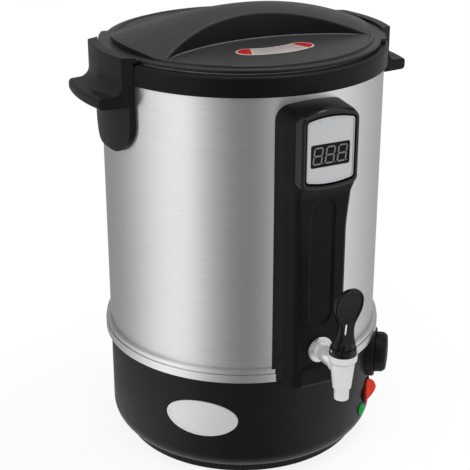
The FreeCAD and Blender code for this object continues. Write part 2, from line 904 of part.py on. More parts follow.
def cut_outward(body, run, level, radius):
    """Round hole through the wall at a run along it, from the axis outward."""
    sketch = new_sketch(body, "XZ_Plane", Placement(Vector(), Rotation(Vector(0, 1, 0), wall_turn(run))))
    circle(sketch, ("zero", level), radius)
    pocket(body, sketch, "barrel_radius + barrel_radius", flip=True)


def make_bottom():
    """Flat cover under the base, four rubber feet and the screws of both."""
    body = new_body("bottom_cover")
    revolve(body, [
        ("zero", "cover_level"),
        ("cover_radius", "cover_level"),
        ("cover_radius", "cover_top"),
        ("zero", "cover_top"),
    ])
    patterns = (
        ("boss_circle", mm("boss_turn"), "boss_count"),
        ("foot_circle", mm("foot_turn") - 90, "foot_count"),
    )
    for circle_radius, angle, count in patterns:
        sketch = new_sketch(body, "XY_Plane", Placement(Vector(), Rotation(UP, angle)))
        circle(sketch, (circle_radius, "zero"), "screw_radius")
        hole = pocket(body, sketch, "cover_top", flip=True)
        around(body, hole, count)
    keep(body, "bottom_cover")

    foot_count = int(mm("foot_count"))
    feet = on_circle(mm("foot_circle"), mm("foot_turn"), foot_count, 0.0)
    for number, place in enumerate(feet, 1):
        turned("foot_%d" % number, [
            ("screw_head_radius + fit_gap", "zero"),
            ("foot_radius - foot_stand", "zero"),
            ("foot_radius", "foot_stand"),
            ("foot_radius", "cover_level"),
            ("screw_radius", "cover_level"),
            ("screw_radius", "foot_screw_seat"),
            ("screw_head_radius + fit_gap", "foot_screw_seat"),
        ], place)

    head = (mm("screw_head_radius"), mm("screw_head_height"), mm("screw_radius"))
    seat = mm("foot_screw_seat")
    foot_screw = screw(*head, mm("cover_top") - seat)
    foot_places = on_circle(mm("foot_circle"), mm("foot_turn"), foot_count, seat)
    shaped("foot_screws", copies(foot_screw, foot_places))
    cover_screw = screw(*head, mm("cover_wall + screw_bite") - mm("fit_gap"))
    first = mm("boss_turn") + 90
    cover_places = on_circle(mm("boss_circle"), first, int(mm("boss_count")), mm("cover_level"))
    shaped("cover_screws", copies(cover_screw, cover_places))


def make_barrel():
    """Brushed outer barrel with the holes for tap and screws, the trim band and the top ring."""
    body = new_body("outer_barrel")
    revolve(body, [
        ("barrel_inside", "base_top"),
        ("barrel_radius", "base_top"),
        ("barrel_radius", "barrel_top"),
        ("barrel_inside", "barrel_top"),
    ])
    front = new_sketch(body, "XZ_Plane")
    circle(front, ("zero", "tap_level"), "shank_radius + shank_gap")
    circle(front, ("zero", "column_screw_low"), "screw_radius + fit_gap")
    circle(front, ("zero", "column_screw_high"), "screw_radius + fit_gap")
    pocket(body, front, "barrel_radius + barrel_wall", flip=True)
    across = new_sketch(body, "YZ_Plane")
    circle(across, ("handle_screw_offset", "handle_screw_level"), "screw_radius + fit_gap")
    circle(across, ("- handle_screw_offset", "handle_screw_level"), "screw_radius + fit_gap")
    sides = pocket(body, across, "barrel_radius + barrel_radius + barrel_radius")
    sides.Midplane = True
    keep(body, "outer_barrel")

    turned("trim_band", [
        ("band_inside", "band_bottom"),
        ("band_lower_radius", "band_bottom"),
        ("band_lower_radius", "band_lower_top"),
        ("band_groove_radius", "band_lower_top"),
        ("band_groove_radius", "band_bead_bottom"),
        ("band_bead_radius", "band_bead_bottom"),
        ("band_bead_radius", "band_top"),
        ("band_inside", "band_top"),
    ])
    ring = turned("top_ring", [
        ("ring_inside", "ring_bottom"),
        ("groove_inner", "ring_bottom"),
        ("groove_inner", "groove_top"),
        ("groove_outer", "groove_top"),
        ("groove_outer", "ring_bottom"),
        ("ring_radius", "ring_bottom"),
        ("ring_radius", "ring_top"),
        ("rim_seat_radius", "ring_top"),
        ("rim_seat_radius", "rim_seat"),
        ("rim_hole", "rim_seat"),
        ("rim_hole", "groove_top"),
        ("ring_inside", "groove_top"),
    ])
    round_rims(ring, [("ring_radius", "ring_top")], "ring_edge")


def make_pot():
    """Inner pot with its rim and floor stud, and the heater clamped under it."""
    body = new_body("inner_pot")
    revolve(body, [
        ("zero", "stud_bottom"),
        ("stud_radius", "stud_bottom"),
        ("stud_radius", "pot_floor"),
        ("pot_outside - pot_corner", "pot_floor", "pot_corner"),
        ("pot_outside", "pot_floor + pot_corner"),
        ("pot_outside", "rim_seat"),
        ("pot_rim_radius", "rim_seat"),
        ("pot_rim_radius", "ring_top"),
        ("pot_radius", "ring_top"),
        ("pot_radius", "pot_floor + pot_corner", "pot_corner - pot_wall", "hollow"),
        ("pot_outside - pot_corner", "pot_inner_floor"),
        ("zero", "pot_inner_floor"),
    ])
    outlet = new_sketch(body, "XZ_Plane")
    circle(outlet, ("zero", "tap_level"), "shank_radius + shank_gap")
    pocket(body, outlet, "barrel_radius", flip=True)
    keep(body, "inner_pot")

    plate = rod(mm("heater_radius"), mm("heater_bottom"), mm("pot_floor"))
    plate = plate.cut(rod(mm("stud_radius + fit_gap"), mm("heater_bottom"), mm("pot_floor")))
    element_circle = mm("element_circle")
    groove_radius = mm("element_radius + element_gap")
    level = Vector(0, 0, mm("heater_bottom"))
    shaped("heating_plate", plate.cut(Part.makeTorus(element_circle, groove_radius, level)))
    element = Part.makeTorus(element_circle, mm("element_radius"), level)
    for side in (-1, 1):
        foot = Vector(side * mm("terminal_spread"), element_circle, level.z - mm("terminal_length"))
        pin = Part.makeCylinder(mm("element_radius") / 2, mm("terminal_length"), foot)
        element = element.fuse(pin)
    shaped("heating_element", element)
    nut = hexagon(mm("nut_width"), mm("heater_bottom - nut_height"), mm("heater_bottom"))
    shaped("heater_nut", nut.cut(rod(mm("stud_radius + fit_gap"), 0, FAR)))
    cutout = rod(mm("cutout_radius"), mm("heater_bottom - cutout_height"), mm("heater_bottom"))
    shaped("thermal_cutout", cutout, Placement(Vector(mm("cutout_offset"), 0, 0), Rotation()))

    turned("heat_shield", [
        ("shield_hole", "shield_floor"),
        ("shield_radius", "shield_floor"),
        ("shield_radius", "spigot_top"),
        ("spigot_radius", "spigot_top"),
        ("spigot_radius", "shield_top"),
        ("shield_inside", "shield_top"),
        ("shield_inside", "shield_floor_top"),
        ("shield_hole", "shield_floor_top"),
    ])


def hexagon(width, low, high):
    """Upright hexagonal bar, its width measured across the flats."""
    corner = width / math.sqrt(3)
    corners = []
    for index in range(6):
        angle = math.radians(60 * index)
        corners.append((corner * math.cos(angle), corner * math.sin(angle), 0))
    return upright(corners, low, high)


# ---------------------------------------------------------------- lid

def ridge(inset):
    """Grip ridge across the lid: a loft of upright sections, waisted in plan and arched along
    its length. The inset gives the same form one wall further in."""
    reach = mm("lid_rim_radius + ridge_round")
    low = mm("lid_bottom - ridge_root")
    sections = []
    steps = 8
    for index in range(steps + 1):
        across = -reach + 2 * reach * index / steps
        half = ridge_half_width(across) - inset
        edge = ridge_edge(across) - inset
        crest = ridge_crest(across) - inset
        corners = [Vector(across, -half, low), Vector(across, half, low), Vector(across, half, edge),
                   Vector(across, -half, edge)]
        top = Part.Arc(corners[2], Vector(across, 0, crest), corners[3])
        sections.append(Part.Wire([
            Part.LineSegment(corners[0], corners[1]).toShape(),
            Part.LineSegment(corners[1], corners[2]).toShape(),
            top.toShape(),
            Part.LineSegment(corners[3], corners[0]).toShape(),
        ]))
    return Part.makeLoft(sections, True, False)


def arch(across, radius):
    """Fall of an arc of this radius at a distance from its middle."""
    return radius - math.sqrt(radius ** 2 - across ** 2)


def ridge_half_width(across):
    return mm("ridge_half_width") + arch(across, mm("ridge_plan_radius"))


def ridge_edge(across):
    return mm("ring_top + ridge_edge_height") - arch(across, mm("ridge_edge_radius"))


def ridge_crest(across):
    return mm("ring_top + ridge_crest_height") - arch(across, mm("ridge_crest_radius"))


def lug(start, end):
    """Ear on the lid's flange between two angles, with tapered ends."""
    taper = mm("lid_lug_taper")
    inner = mm("lid_flange_radius - lid_lug_bite")
    outer = mm("lid_lug_radius + lid_lug_reach")
    corners = [(0, 0, 0)]
    for angle, radius in ((start, inner), (start + taper, outer)):
        corners.append((radius * math.sin(math.radians(angle)), -radius * math.cos(math.radians(angle)), 0))
    middle = math.radians((start + end) / 2)
    corners.append((2 * outer * math.sin(middle), -2 * outer * math.cos(middle), 0))
    for angle, radius in ((end - taper, outer), (end, inner)):
        corners.append((radius * math.sin(math.radians(angle)), -radius * math.cos(math.radians(angle)), 0))
    wedge = upright(corners, mm("lid_bottom"), mm("lid_flange_top"))
    return wedge.common(rod(mm("lid_lug_radius"), mm("lid_bottom"), mm("lid_flange_top")))


def make_lid():
    """Moulded lid: flange with two lugs, raised rim, two finger recesses and the ridge between."""
    bottom = mm("lid_bottom")
    flange_top = mm("lid_flange_top")
    rim_top = mm("lid_rim_top")
    floor = mm("lid_floor")
    rim = mm("lid_rim_radius")
    width = mm("lid_rim_width")
    soft = mm("lid_flange_round")
    section = rounded([
        (0, bottom, 0),
        (mm("lid_flange_radius"), bottom, soft / 2),
        (mm("lid_flange_radius"), flange_top, soft),
        (rim, flange_top, soft / 2),
        (rim - 0.5 * soft, rim_top, soft),
        (rim - width, rim_top, soft / 2),
        (rim - width - soft, floor, soft / 2),
        (0, floor, 0),
    ], front_view)
    lid = Part.Face(section).revolve(CENTRE, UP, 360)
    for turn in (0, 180):
        lid = lid.fuse(lug(mm("lid_lug_start") + turn, mm("lid_lug_end") + turn))
    rise = ridge(0)
    # the two long edges of the crown are those whose middle lies in the plane x = 0
    crown_edges = []
    for edge in rise.Edges:
        middle = edge.valueAt((edge.FirstParameter + edge.LastParameter) / 2)
        if abs(middle.x) < BITE and middle.z > floor:
            crown_edges.append(edge)
    rise = rise.makeFillet(mm("ridge_round"), crown_edges)
    rise = rise.common(rod(rim, bottom, bottom + FAR))
    lid = lid.fuse(rise)
    hollow = ridge(mm("lid_wall")).common(rod(rim - 2 * mm("lid_wall"), bottom - BITE, bottom + FAR))
    lid = lid.cut(hollow)
    post = rod(mm("boss_radius"), mm("liner_bottom + liner_wall"), floor)
    bite = rod(mm("screw_radius"), mm("liner_bottom"), mm("liner_bottom + liner_wall + screw_bite"))
    screw_turn = mm("liner_screw_turn")
    screw_count = int(mm("liner_screw_count"))
    places = on_circle(mm("liner_screw_circle"), screw_turn, screw_count, 0.0)
    lid = lid.fuse(copies(post, places)).removeSplitter()
    lid = lid.cut(copies(bite, places))
    shaped("lid", lid)

    liner = new_body("lid_liner")
    revolve(liner, [
        ("zero", "liner_bottom"),
        ("liner_radius - liner_wall - liner_wall", "liner_bottom"),
        ("liner_radius - liner_wall - liner_wall", "liner_top - liner_wall"),
        ("liner_radius", "liner_top - liner_wall"),
        ("liner_radius", "liner_top"),
        ("liner_radius - liner_wall - liner_wall - liner_wall", "liner_top"),
        ("liner_radius - liner_wall - liner_wall - liner_wall", "liner_bottom + liner_wall"),
        ("zero", "liner_bottom + liner_wall"),
    ])
    sketch = new_sketch(liner, "XY_Plane", Placement(Vector(), Rotation(UP, screw_turn + 90)))
    circle(sketch, ("liner_screw_circle", "zero"), "screw_radius + fit_gap")
    hole = pocket(liner, sketch, "lid_bottom", flip=True)
    around(liner, hole, "liner_screw_count")
    keep(liner, "lid_liner")
    turned("lid_seal", [
        ("seal_inner_radius", "seal_bottom"),
        ("seal_radius", "seal_bottom"),
        ("seal_radius", "seal_top"),
        ("seal_inner_radius", "seal_top"),
    ])
    lid_screw = screw(mm("screw_head_radius"), mm("screw_head_height"), mm("screw_radius"),
                      mm("liner_wall + screw_bite - fit_gap"))
    lid_places = on_circle(mm("liner_screw_circle"), screw_turn, screw_count, mm("liner_bottom"))
    shaped("lid_screws", copies(lid_screw, lid_places))


# ---------------------------------------------------------------- handles

def sector(corners, half_angle):
    """Outline of (radius, height) corners swept about the pot's axis, evenly about +X."""
    solid = Part.Face(rounded(corners, front_view)).revolve(CENTRE, UP, 2 * half_angle)
    solid.rotate(CENTRE, UP, -half_angle)
    return solid


def handle():
    """Side handle at +X: tab on the barrel, grip shelf, and guard with a lip over the ring."""
    span = mm("handle_half_angle")
    tab_bottom = mm("tab_bottom")
    tab_back = mm("tab_back")
    tab = sector([
        (tab_back, tab_bottom, 0),
        (mm("tab_radius"), tab_bottom, 0),
        (mm("tab_radius"), mm("tab_top"), 0),
        (tab_back, mm("tab_top"), 0),
    ], span)
    tab_top = mm("tab_top")
    tab_plan = both_sides([
        (mm("tab_half_width"), tab_bottom, mm("tab_corner")),
        (mm("tab_half_width"), tab_top, 0),
    ])
    tab = tab.common(prism(tab_plan, side_view, CENTRE, Vector(FAR, 0, 0)))

    soft = mm("shelf_round")
    curve = mm("guard_curve")
    shelf_top = mm("shelf_top")
    shelf_bottom = mm("shelf_bottom")
    guard_radius = mm("guard_radius")
    back = mm("tab_back")
    shelf = sector([
        (back, shelf_bottom, 0),
        (mm("shelf_radius"), shelf_bottom, soft),
        (mm("shelf_radius"), shelf_top, soft),
        (guard_radius, shelf_top, curve),
        (guard_radius, tab_top, 0),
        (back, tab_top, 0),
    ], span)
    shelf_plan = both_sides([
        (mm("shelf_half_width + shelf_splay"), 0, 0),
        (mm("shelf_half_width + shelf_splay"), mm("tab_radius"), 0),
        (mm("shelf_half_width"), mm("shelf_radius"), mm("shelf_corner")),
    ])
    shelf = shelf.common(upright([(out, across, corner) for across, out, corner in shelf_plan], 0, FAR))
    shelf = shelf.cut(handle_hollow())

    guard_top = mm("guard_top")
    ring_radius = mm("handle_back")
    guard = sector([
        (ring_radius, tab_top - BITE, 0),
        (guard_radius, tab_top - BITE, 0),
        (guard_radius, guard_top, mm("guard_round")),
        (mm("lip_radius"), guard_top, mm("lip_round")),
        (mm("lip_radius"), mm("lip_bottom"), mm("lip_round")),
        (ring_radius, mm("lip_bottom"), 0),
    ], span)
    half = mm("guard_half_width")
    back_half = mm("guard_back_half_width")
    root = math.sqrt(ring_radius ** 2 - back_half ** 2)
    tip = math.sqrt(guard_radius ** 2 - half ** 2)
    slope = (half - back_half) / (tip - root)
    far = guard_radius + MARGIN
    near = root - MARGIN
    guard_plan = [
        (near, -(back_half + slope * (near - root)), 0),
        (near, back_half + slope * (near - root), 0),
        (far, half + slope * (far - tip), 0),
        (far, -(half + slope * (far - tip)), 0),
    ]
    guard = guard.common(upright(guard_plan, 0, FAR))
    whole = tab.fuse([shelf, guard]).removeSplitter()
    for side in (-1, 1):
        hole = Part.makeCylinder(mm("screw_radius"), mm("handle_screw_end"),
                                 Vector(0, side * mm("handle_screw_offset"), mm("handle_screw_level")),
                                 Vector(1, 0, 0))
        whole = whole.cut(hole)
    return whole


def handle_hollow():
    """Moulding recess under the grip shelf, crossed by two ribs."""
    wall = mm("handle_wall")
    outer = mm("shelf_radius") - wall
    inner = mm("tab_radius") + wall
    low = mm("shelf_bottom") - BITE
    high = mm("shelf_top") - wall
    soft = mm("lip_round")
    corners = [(inner, low, 0), (outer, low, 0), (outer, high, soft), (inner, high, soft)]
    hollow = sector(corners, mm("shelf_hollow_half_angle"))
    half_rib = mm("shelf_rib_wall") / 2
    for side in (-1, 1):
        offset = side * mm("shelf_rib_offset")
        rib = block((inner - MARGIN, offset - half_rib, low),
                    (outer + MARGIN, offset + half_rib, high + BITE))
        hollow = hollow.cut(rib)
    return hollow


def make_handles():
    grip = handle()
    shaped("right_handle", grip)
    shaped("left_handle", grip.copy(), Placement(CENTRE, Rotation(UP, 180)))
    spread = mm("handle_screw_offset")
    inside = math.sqrt(mm("barrel_inside") ** 2 - (spread + mm("screw_head_radius")) ** 2)
    bolt = screw(mm("screw_head_radius"), mm("screw_head_height"), mm("screw_radius"),
                 mm("handle_screw_end - fit_gap") - inside)
    places = []
    for turn in (0, 180):
        for side in (-1, 1):
            outward = Rotation(UP, turn) * Rotation(Vector(0, 1, 0), 90)
            spot_here = Rotation(UP, turn) * Vector(inside, side * spread, mm("handle_screw_level"))
            places.append(Placement(spot_here, outward))
    shaped("handle_screws", copies(bolt, places))


# ---------------------------------------------------------------- control column

def column_plan(inset, shoulder, shoulder_half, front, front_half, edge):
    """Plan of the column: wide on the barrel, bevelled to a flat front."""
    base = mm("column_half_base") - inset
    root = math.sqrt(mm("barrel_radius") ** 2 - mm("column_half_base") ** 2)
    back = root - MARGIN
    slope = (base - shoulder_half) / (shoulder - root)
    return both_sides([
        (base + slope * (root - back), -back, 0),
        (shoulder_half, -shoulder, edge),
        (front_half, -front, edge),
    ])


def mid_plan(inset, grow=0.0):
    return column_plan(inset, mm("column_shoulder") - inset + grow, mm("column_shoulder_half") - inset + grow,
                       mm("column_front") - inset + grow, mm("column_front_half") - inset + grow,
                       max(mm("column_edge") - inset, 0.0))


def display_plan(inset):
    shoulder = mm("display_shoulder_half") - inset
    return column_plan(inset, mm("column_front"), shoulder, mm("display_front") - inset,
                       mm("display_front_half") - inset, max(mm("display_edge") - inset, 0.0))


def arched(half, low, high, low_arch, high_arch, corner):
    """Front-view face with straight sides and outward-arched top and bottom, corners rounded."""
    bottom = Part.Arc(Vector(-half, 0, low), Vector(0, 0, low - low_arch), Vector(half, 0, low)).toShape()
    top = Part.Arc(Vector(half, 0, high), Vector(0, 0, high + high_arch), Vector(-half, 0, high)).toShape()
    right = Part.LineSegment(Vector(half, 0, low), Vector(half, 0, high)).toShape()
    left = Part.LineSegment(Vector(-half, 0, high), Vector(-half, 0, low)).toShape()
    solid = Part.Face(Part.Wire([bottom, right, top, left])).extrude(Vector(0, -1, 0))
    sides = []
    for edge in solid.Edges:
        direction = edge.tangentAt(edge.FirstParameter)
        if abs(direction.y) > 0.99:
            sides.append(edge)
    if corner > 0:
        solid = solid.makeFillet(corner, sides)
    for face in solid.Faces:
        if abs(face.CenterOfMass.y) < 1e-6:
            return face
    return None


def carried(face, back, front):
    """Front-view face carried to -Y between two distances from the pot's axis."""
    moved = face.copy()
    moved.translate(Vector(0, -back, 0))
    return moved.extrude(Vector(0, back - front, 0))


def head_face(inset, side_top, arch_rise):
    """Front-view outline of the display head, drawn in by an inset."""
    half = mm("display_half_base") - inset
    return arched(half, mm("display_bottom"), side_top - inset, mm("label_arch"), arch_rise,
                  mm("display_corner") - inset)


def head_crown(inset):
    """Back of the display head, whose top grows higher and flatter toward the barrel."""
    back_wire = head_face(inset, mm("display_back_side_top"), mm("display_back_arch")).OuterWire
    back_wire.translate(Vector(0, -mm("display_back"), 0))
    front_wire = head_face(inset, mm("display_side_top"), mm("display_arch")).OuterWire
    front_wire.translate(Vector(0, -mm("display_front - display_brow"), 0))
    return Part.makeLoft([back_wire, front_wire], True, True)


def head_parts(inset, front):
    """The display head's crown and its straight front part, drawn in by an inset."""
    plan = upright(display_plan(inset), 0, FAR)
    face = head_face(inset, mm("display_side_top"), mm("display_arch"))
    brow = carried(face, mm("display_front - display_brow"), front)
    return plan.common(head_crown(inset)), plan.common(brow)


def label_face(margin):
    """Outline of the display label, grown by a margin."""
    return arched(mm("label_half_width") + margin, mm("label_bottom") - margin, mm("label_top") + margin,
                  mm("label_arch"), mm("label_arch"), mm("label_corner") + margin)


def make_column():
    """Hollow column over the front of the barrel: foot, tap seat, grip track and display head."""
    bottom = mm("column_bottom")
    head_bottom = mm("display_bottom")
    body = upright(mid_plan(0), bottom, mm("display_bottom - display_skirt"))
    lower = Part.Wire(rounded(mid_plan(0), flat).Edges)
    lower.translate(Vector(0, 0, mm("display_bottom - display_skirt")))
    upper = Part.Wire(rounded(mid_plan(0, mm("display_flare")), flat).Edges)
    upper.translate(Vector(0, 0, head_bottom + BITE))
    body = body.fuse(Part.makeLoft([lower, upper], True, True))

    crown, head = head_parts(0, mm("display_front") + BITE)
    rims = []
    for edge in head.Edges:
        if all(abs(vertex.Point.y + mm("display_front")) < 1e-4 for vertex in edge.Vertexes):
            rims.append(edge)
    head = head.makeFillet(mm("display_edge"), rims)
    body = body.fuse(crown).fuse(head)

    # wedge-shaped pad under the tap
    pad_half = mm("column_front_half")
    front = mm("column_front")
    pad_top = mm("pad_top")
    pad_low = bottom + mm("pad_lift")
    pad_side = [(-front + mm("column_wall"), pad_low, 0), (-front + mm("column_wall"), pad_top, 0),
                (-front, pad_top, 0), (-front - mm("pad_rise") / 2, pad_top - mm("pad_brow"), 0),
                (-front - mm("pad_rise"), pad_low + mm("pad_chin"), mm("pad_round")),
                (-front + BITE, pad_low, 0)]
    pad_solid = prism(pad_side, side_view, Vector(-pad_half, 0, 0), Vector(2 * pad_half, 0, 0))
    pad_front = both_sides([(pad_half, bottom, 0), (pad_half, pad_top, mm("pad_corner"))])
    pad_solid = pad_solid.common(forward(pad_front, front - MARGIN, front + MARGIN))
    body = body.fuse(pad_solid).removeSplitter()

    for space in column_cavity():
        body = body.cut(space)
    body = body.fuse(column_posts())

    # shallow grip track, label recess with its thin frame, display opening, tap and screw holes
    track_half = mm("track_half_width")
    track_corner = track_half - mm("fit_gap")
    track = both_sides([
        (track_half, mm("track_bottom"), track_corner),
        (track_half, mm("track_top"), track_corner),
    ])
    body = body.cut(forward(track, front - mm("track_depth"), front + MARGIN))
    recess = label_face(mm("label_margin"))
    body = body.cut(carried(recess, mm("display_floor"), mm("display_front") + MARGIN))
    frame_face = label_face(mm("frame_width + fit_gap"))
    frame = carried(frame_face, mm("display_floor"), mm("display_floor + label_wall"))
    seat = label_face(mm("fit_gap"))
    frame = frame.cut(carried(seat, mm("display_floor") - BITE, mm("display_front") + BITE))
    body = body.fuse(frame)
    body = body.cut(window_block(mm("fit_gap"), mm("display_inside") - BITE, mm("display_front")))
    body = body.cut(outward_rod(mm("shank_radius + shank_gap"), 0, FAR, 0, mm("tap_level")))
    for level in ("column_screw_low", "column_screw_high"):
        body = body.cut(outward_rod(mm("screw_radius"), 0, mm("barrel_radius + screw_bite"), 0, mm(level)))
    body = body.cut(rod(mm("barrel_radius + column_gap"), 0, FAR))
    band = rod(mm("band_lower_radius + seat_gap"), mm("band_bottom - seat_gap"), mm("band_top + seat_gap"))
    body = body.cut(band)
    shaped("control_column", body)


def column_cavity():
    """Space inside the column, open to the barrel."""
    wall = mm("column_wall")
    cavity = upright(mid_plan(wall), mm("column_bottom") + 2 * wall, mm("display_bottom") + BITE)
    crown, head = head_parts(wall, mm("display_inside"))
    return [cavity, crown, head]


def column_posts():
    """Screw bosses that stand from the column's front wall to the barrel, and four board posts."""
    posts = []
    back = mm("barrel_radius") - BITE
    front = mm("column_front - column_wall") + BITE
    for level in ("column_screw_low", "column_screw_high"):
        posts.append(outward_rod(mm("boss_radius"), back, front, 0, mm(level)))
    across = mm("board_half_width - boss_radius")
    up = mm("board_half_height - boss_radius")
    for side in (-1, 1):
        for step in (-1, 1):
            posts.append(outward_rod(mm("screw_radius"), mm("board_front"), mm("display_inside") + BITE,
                                     side * across, mm("window_level") + step * up))
    return posts


def window_block(grow, back, front):
    """Block of the display window's outline."""
    half = mm("window_half_width") + grow
    level = mm("window_level")
    rise = mm("window_half_height") + grow
    return block((-half, -front, level - rise), (half, -back, level + rise))


def make_display():
    """Label plate, window, three-digit display module, its board and the pot's probe."""
    floor = mm("display_floor")
    plate = carried(label_face(0), floor, floor + mm("label_wall"))
    plate = plate.cut(window_block(mm("fit_gap"), floor - BITE, floor + MARGIN))
    shaped("display_plate", plate)
    shaped("display_window", window_block(0, floor, floor + mm("window_wall")))
    board_front = mm("board_front")
    shaped("led_display", window_block(-mm("fit_gap"), board_front, floor - mm("fit_gap")))
    half = mm("board_half_width")
    rise = mm("board_half_height")
    level = mm("window_level")
    board = block((-half, -board_front, level - rise), (half, -board_front + mm("board_wall"), level + rise))
    shaped("display_board", board)
    probe_back = mm("pot_outside")
    probe_front = probe_back + mm("probe_depth")
    probe = outward_rod(mm("probe_radius"), probe_back - BITE, probe_front, 0, mm("probe_level"))
    shaped("temperature_probe", probe.cut(rod(probe_back, 0, FAR)))
    bolt = screw(mm("screw_head_radius"), mm("screw_head_height"), mm("screw_radius"),
                 mm("barrel_radius + screw_bite - fit_gap - barrel_inside"))
    seat = math.sqrt(mm("barrel_inside") ** 2 - mm("screw_head_radius") ** 2)
    places = [facing_out(0, mm("column_screw_low")), facing_out(0, mm("column_screw_high"))]
    bolt.translate(Vector(0, 0, seat))
    moved = []
    for place in places:
        one = bolt.copy()
        one.transformShape(place.toMatrix())
        moved.append(one)
    shaped("column_screws", Part.makeCompound(moved))


# ---------------------------------------------------------------- tap

def make_tap():
    """Self-closing tap: shank through the pot wall, body, bonnet, sprung plunger and lever."""
    axis = facing_out(0, mm("tap_level"))
    shank = turned("tap_shank", [
        ("shank_bore", "shank_back"),
        ("shank_radius", "shank_back"),
        ("shank_radius", "column_front"),
        ("shank_flange_radius", "column_front"),
        ("shank_flange_radius", "column_front + shank_flange_wall"),
        ("shank_radius", "column_front + shank_flange_wall"),
        ("shank_radius", "shank_end"),
        ("shank_bore", "shank_end"),
    ], axis)
    round_rims(shank, [("shank_flange_radius", "column_front + shank_flange_wall")], "shank_flange_round")

    hole = mm("shank_radius + fit_gap")
    tap_level = mm("tap_level")
    outside = mm("pot_outside")
    inside = mm("pot_radius")
    washer = outward_rod(mm("washer_radius"), outside - BITE, outside + mm("washer_wall"), 0, tap_level)
    washer = washer.cut(rod(outside, 0, FAR)).cut(outward_rod(hole, 0, FAR, 0, tap_level))
    shaped("outer_washer", washer)
    seat = mm("pot_radius") - mm("washer_wall")
    washer = outward_rod(mm("washer_radius"), seat, outside, 0, tap_level)
    washer = washer.common(rod(inside, 0, FAR)).cut(outward_rod(hole, 0, FAR, 0, tap_level))
    shaped("inner_washer", washer)
    spacer = outward_rod(mm("spacer_radius"), outside + mm("washer_wall"), mm("barrel_inside"), 0, tap_level)
    spacer = spacer.common(rod(mm("barrel_inside - fit_gap"), 0, FAR))
    shaped("tap_spacer", spacer.cut(outward_rod(hole, 0, FAR, 0, tap_level)))
    nut = hexagon(mm("tap_nut_width"), seat - mm("tap_nut_height"), seat)
    shaped("tap_nut", nut.cut(rod(hole, 0, FAR)), axis)

    on_tap = Placement(Vector(0, -mm("tap_reach"), 0), Rotation())
    body = new_body("tap_body")
    revolve(body, [
        ("spout_bore", "spout_bottom"),
        ("spout_radius", "spout_bottom"),
        ("spout_radius", "spout_top"),
        ("cone_bottom_radius", "spout_top + fit_gap"),
        ("cone_top_radius", "cone_top"),
        ("collar_low_radius", "collar_bottom"),
        ("collar_radius", "collar_top"),
        ("chamber_radius", "collar_top"),
        ("chamber_radius", "valve_seat"),
        ("valve_bore", "valve_seat"),
        ("valve_bore", "valve_seat - valve_bore"),
        ("spout_bore", "valve_seat - valve_bore"),
    ])
    inlet = new_sketch(body, "XZ_Plane")
    circle(inlet, ("zero", "tap_level"), "shank_bore")
    pocket(body, inlet, "tap_reach - barrel_radius")
    socket = new_sketch(body, "XZ_Plane", Placement(Vector(0, 0, mm("shank_end - tap_reach")), Rotation()))
    socket.setExpression("AttachmentOffset.Base.z", formula("shank_end - tap_reach"))
    circle(socket, ("zero", "tap_level"), "shank_radius + shank_gap")
    pocket(body, socket, "tap_reach - barrel_radius")
    keep(body, "tap_body", on_tap)

    bonnet = turned("tap_bonnet", [
        ("stem_hole", "bonnet_plug"),
        ("plug_radius", "bonnet_plug"),
        ("plug_radius", "collar_top"),
        ("bonnet_radius", "collar_top"),
        ("bonnet_radius", "bonnet_top"),
        ("stem_hole", "bonnet_top"),
    ], on_tap)
    round_rims(bonnet, [("bonnet_radius", "bonnet_top")], "bonnet_round")
    scallop = new_sketch(bonnet, "XY_Plane", Placement(Vector(0, 0, mm("collar_top")), Rotation()))
    scallop.setExpression("AttachmentOffset.Base.z", formula("collar_top"))
    circle(scallop, ("bonnet_radius + bonnet_round", "zero"), "bonnet_scallop_radius")
    notch = pocket(bonnet, scallop, "bonnet_height", flip=True)
    around(bonnet, notch, "bonnet_scallops")

    pin_level = mm("lever_pin_level")
    pin_radius = mm("lever_pin_radius")
    head = mm("stem_head_half_width")
    plunger = rod(mm("plunger_radius"), mm("plunger_bottom"), mm("plunger_top"))
    plunger = plunger.fuse(rod(mm("stem_radius"), mm("plunger_top"), pin_level))
    seat_low = mm("plunger_top")
    plunger = plunger.fuse(rod(mm("spring_seat_radius"), seat_low, seat_low + mm("spring_seat_wall")))
    eye = Part.makeCylinder(mm("stem_radius"), 2 * head, Vector(-head, 0, pin_level), Vector(1, 0, 0))
    plunger = plunger.fuse(eye).removeSplitter()
    pin_hole = Part.makeCylinder(pin_radius + mm("lever_bore_gap") / 2, 2 * head, Vector(-head, 0, pin_level),
                                 Vector(1, 0, 0))
    plunger = plunger.cut(pin_hole)
    shaped("tap_plunger", plunger, on_tap)
    reach = mm("lever_hub_half_width")
    pin = Part.makeCylinder(pin_radius, 2 * reach, Vector(-reach, 0, pin_level), Vector(1, 0, 0))
    shaped("tap_pin", pin, on_tap)
    make_spring(on_tap)
    shaped("tap_lever", lever(), on_tap)


def make_spring(place):
    """Coil that pushes the plunger onto its seat."""
    wire = mm("spring_wire")
    low = mm("plunger_top + spring_seat_wall") + wire + mm("stem_gap")
    high = mm("bonnet_plug") - wire - mm("stem_gap")
    turns = mm("spring_turns")
    radius = mm("spring_radius")
    helix = Part.makeHelix((high - low) / turns, high - low, radius)
    helix.translate(Vector(0, 0, low))
    # the wire is drawn with flat sides, so that the coil stays light
    sides = 8
    section = []
    for index in range(sides + 1):
        angle = 2 * math.pi * index / sides
        section.append(Vector(radius + wire * math.cos(angle), 0, low + wire * math.sin(angle)))
    coil = Part.Wire(helix.Edges).makePipeShell([Part.makePolygon(section)], True, True)
    shaped("tap_spring", coil, place)


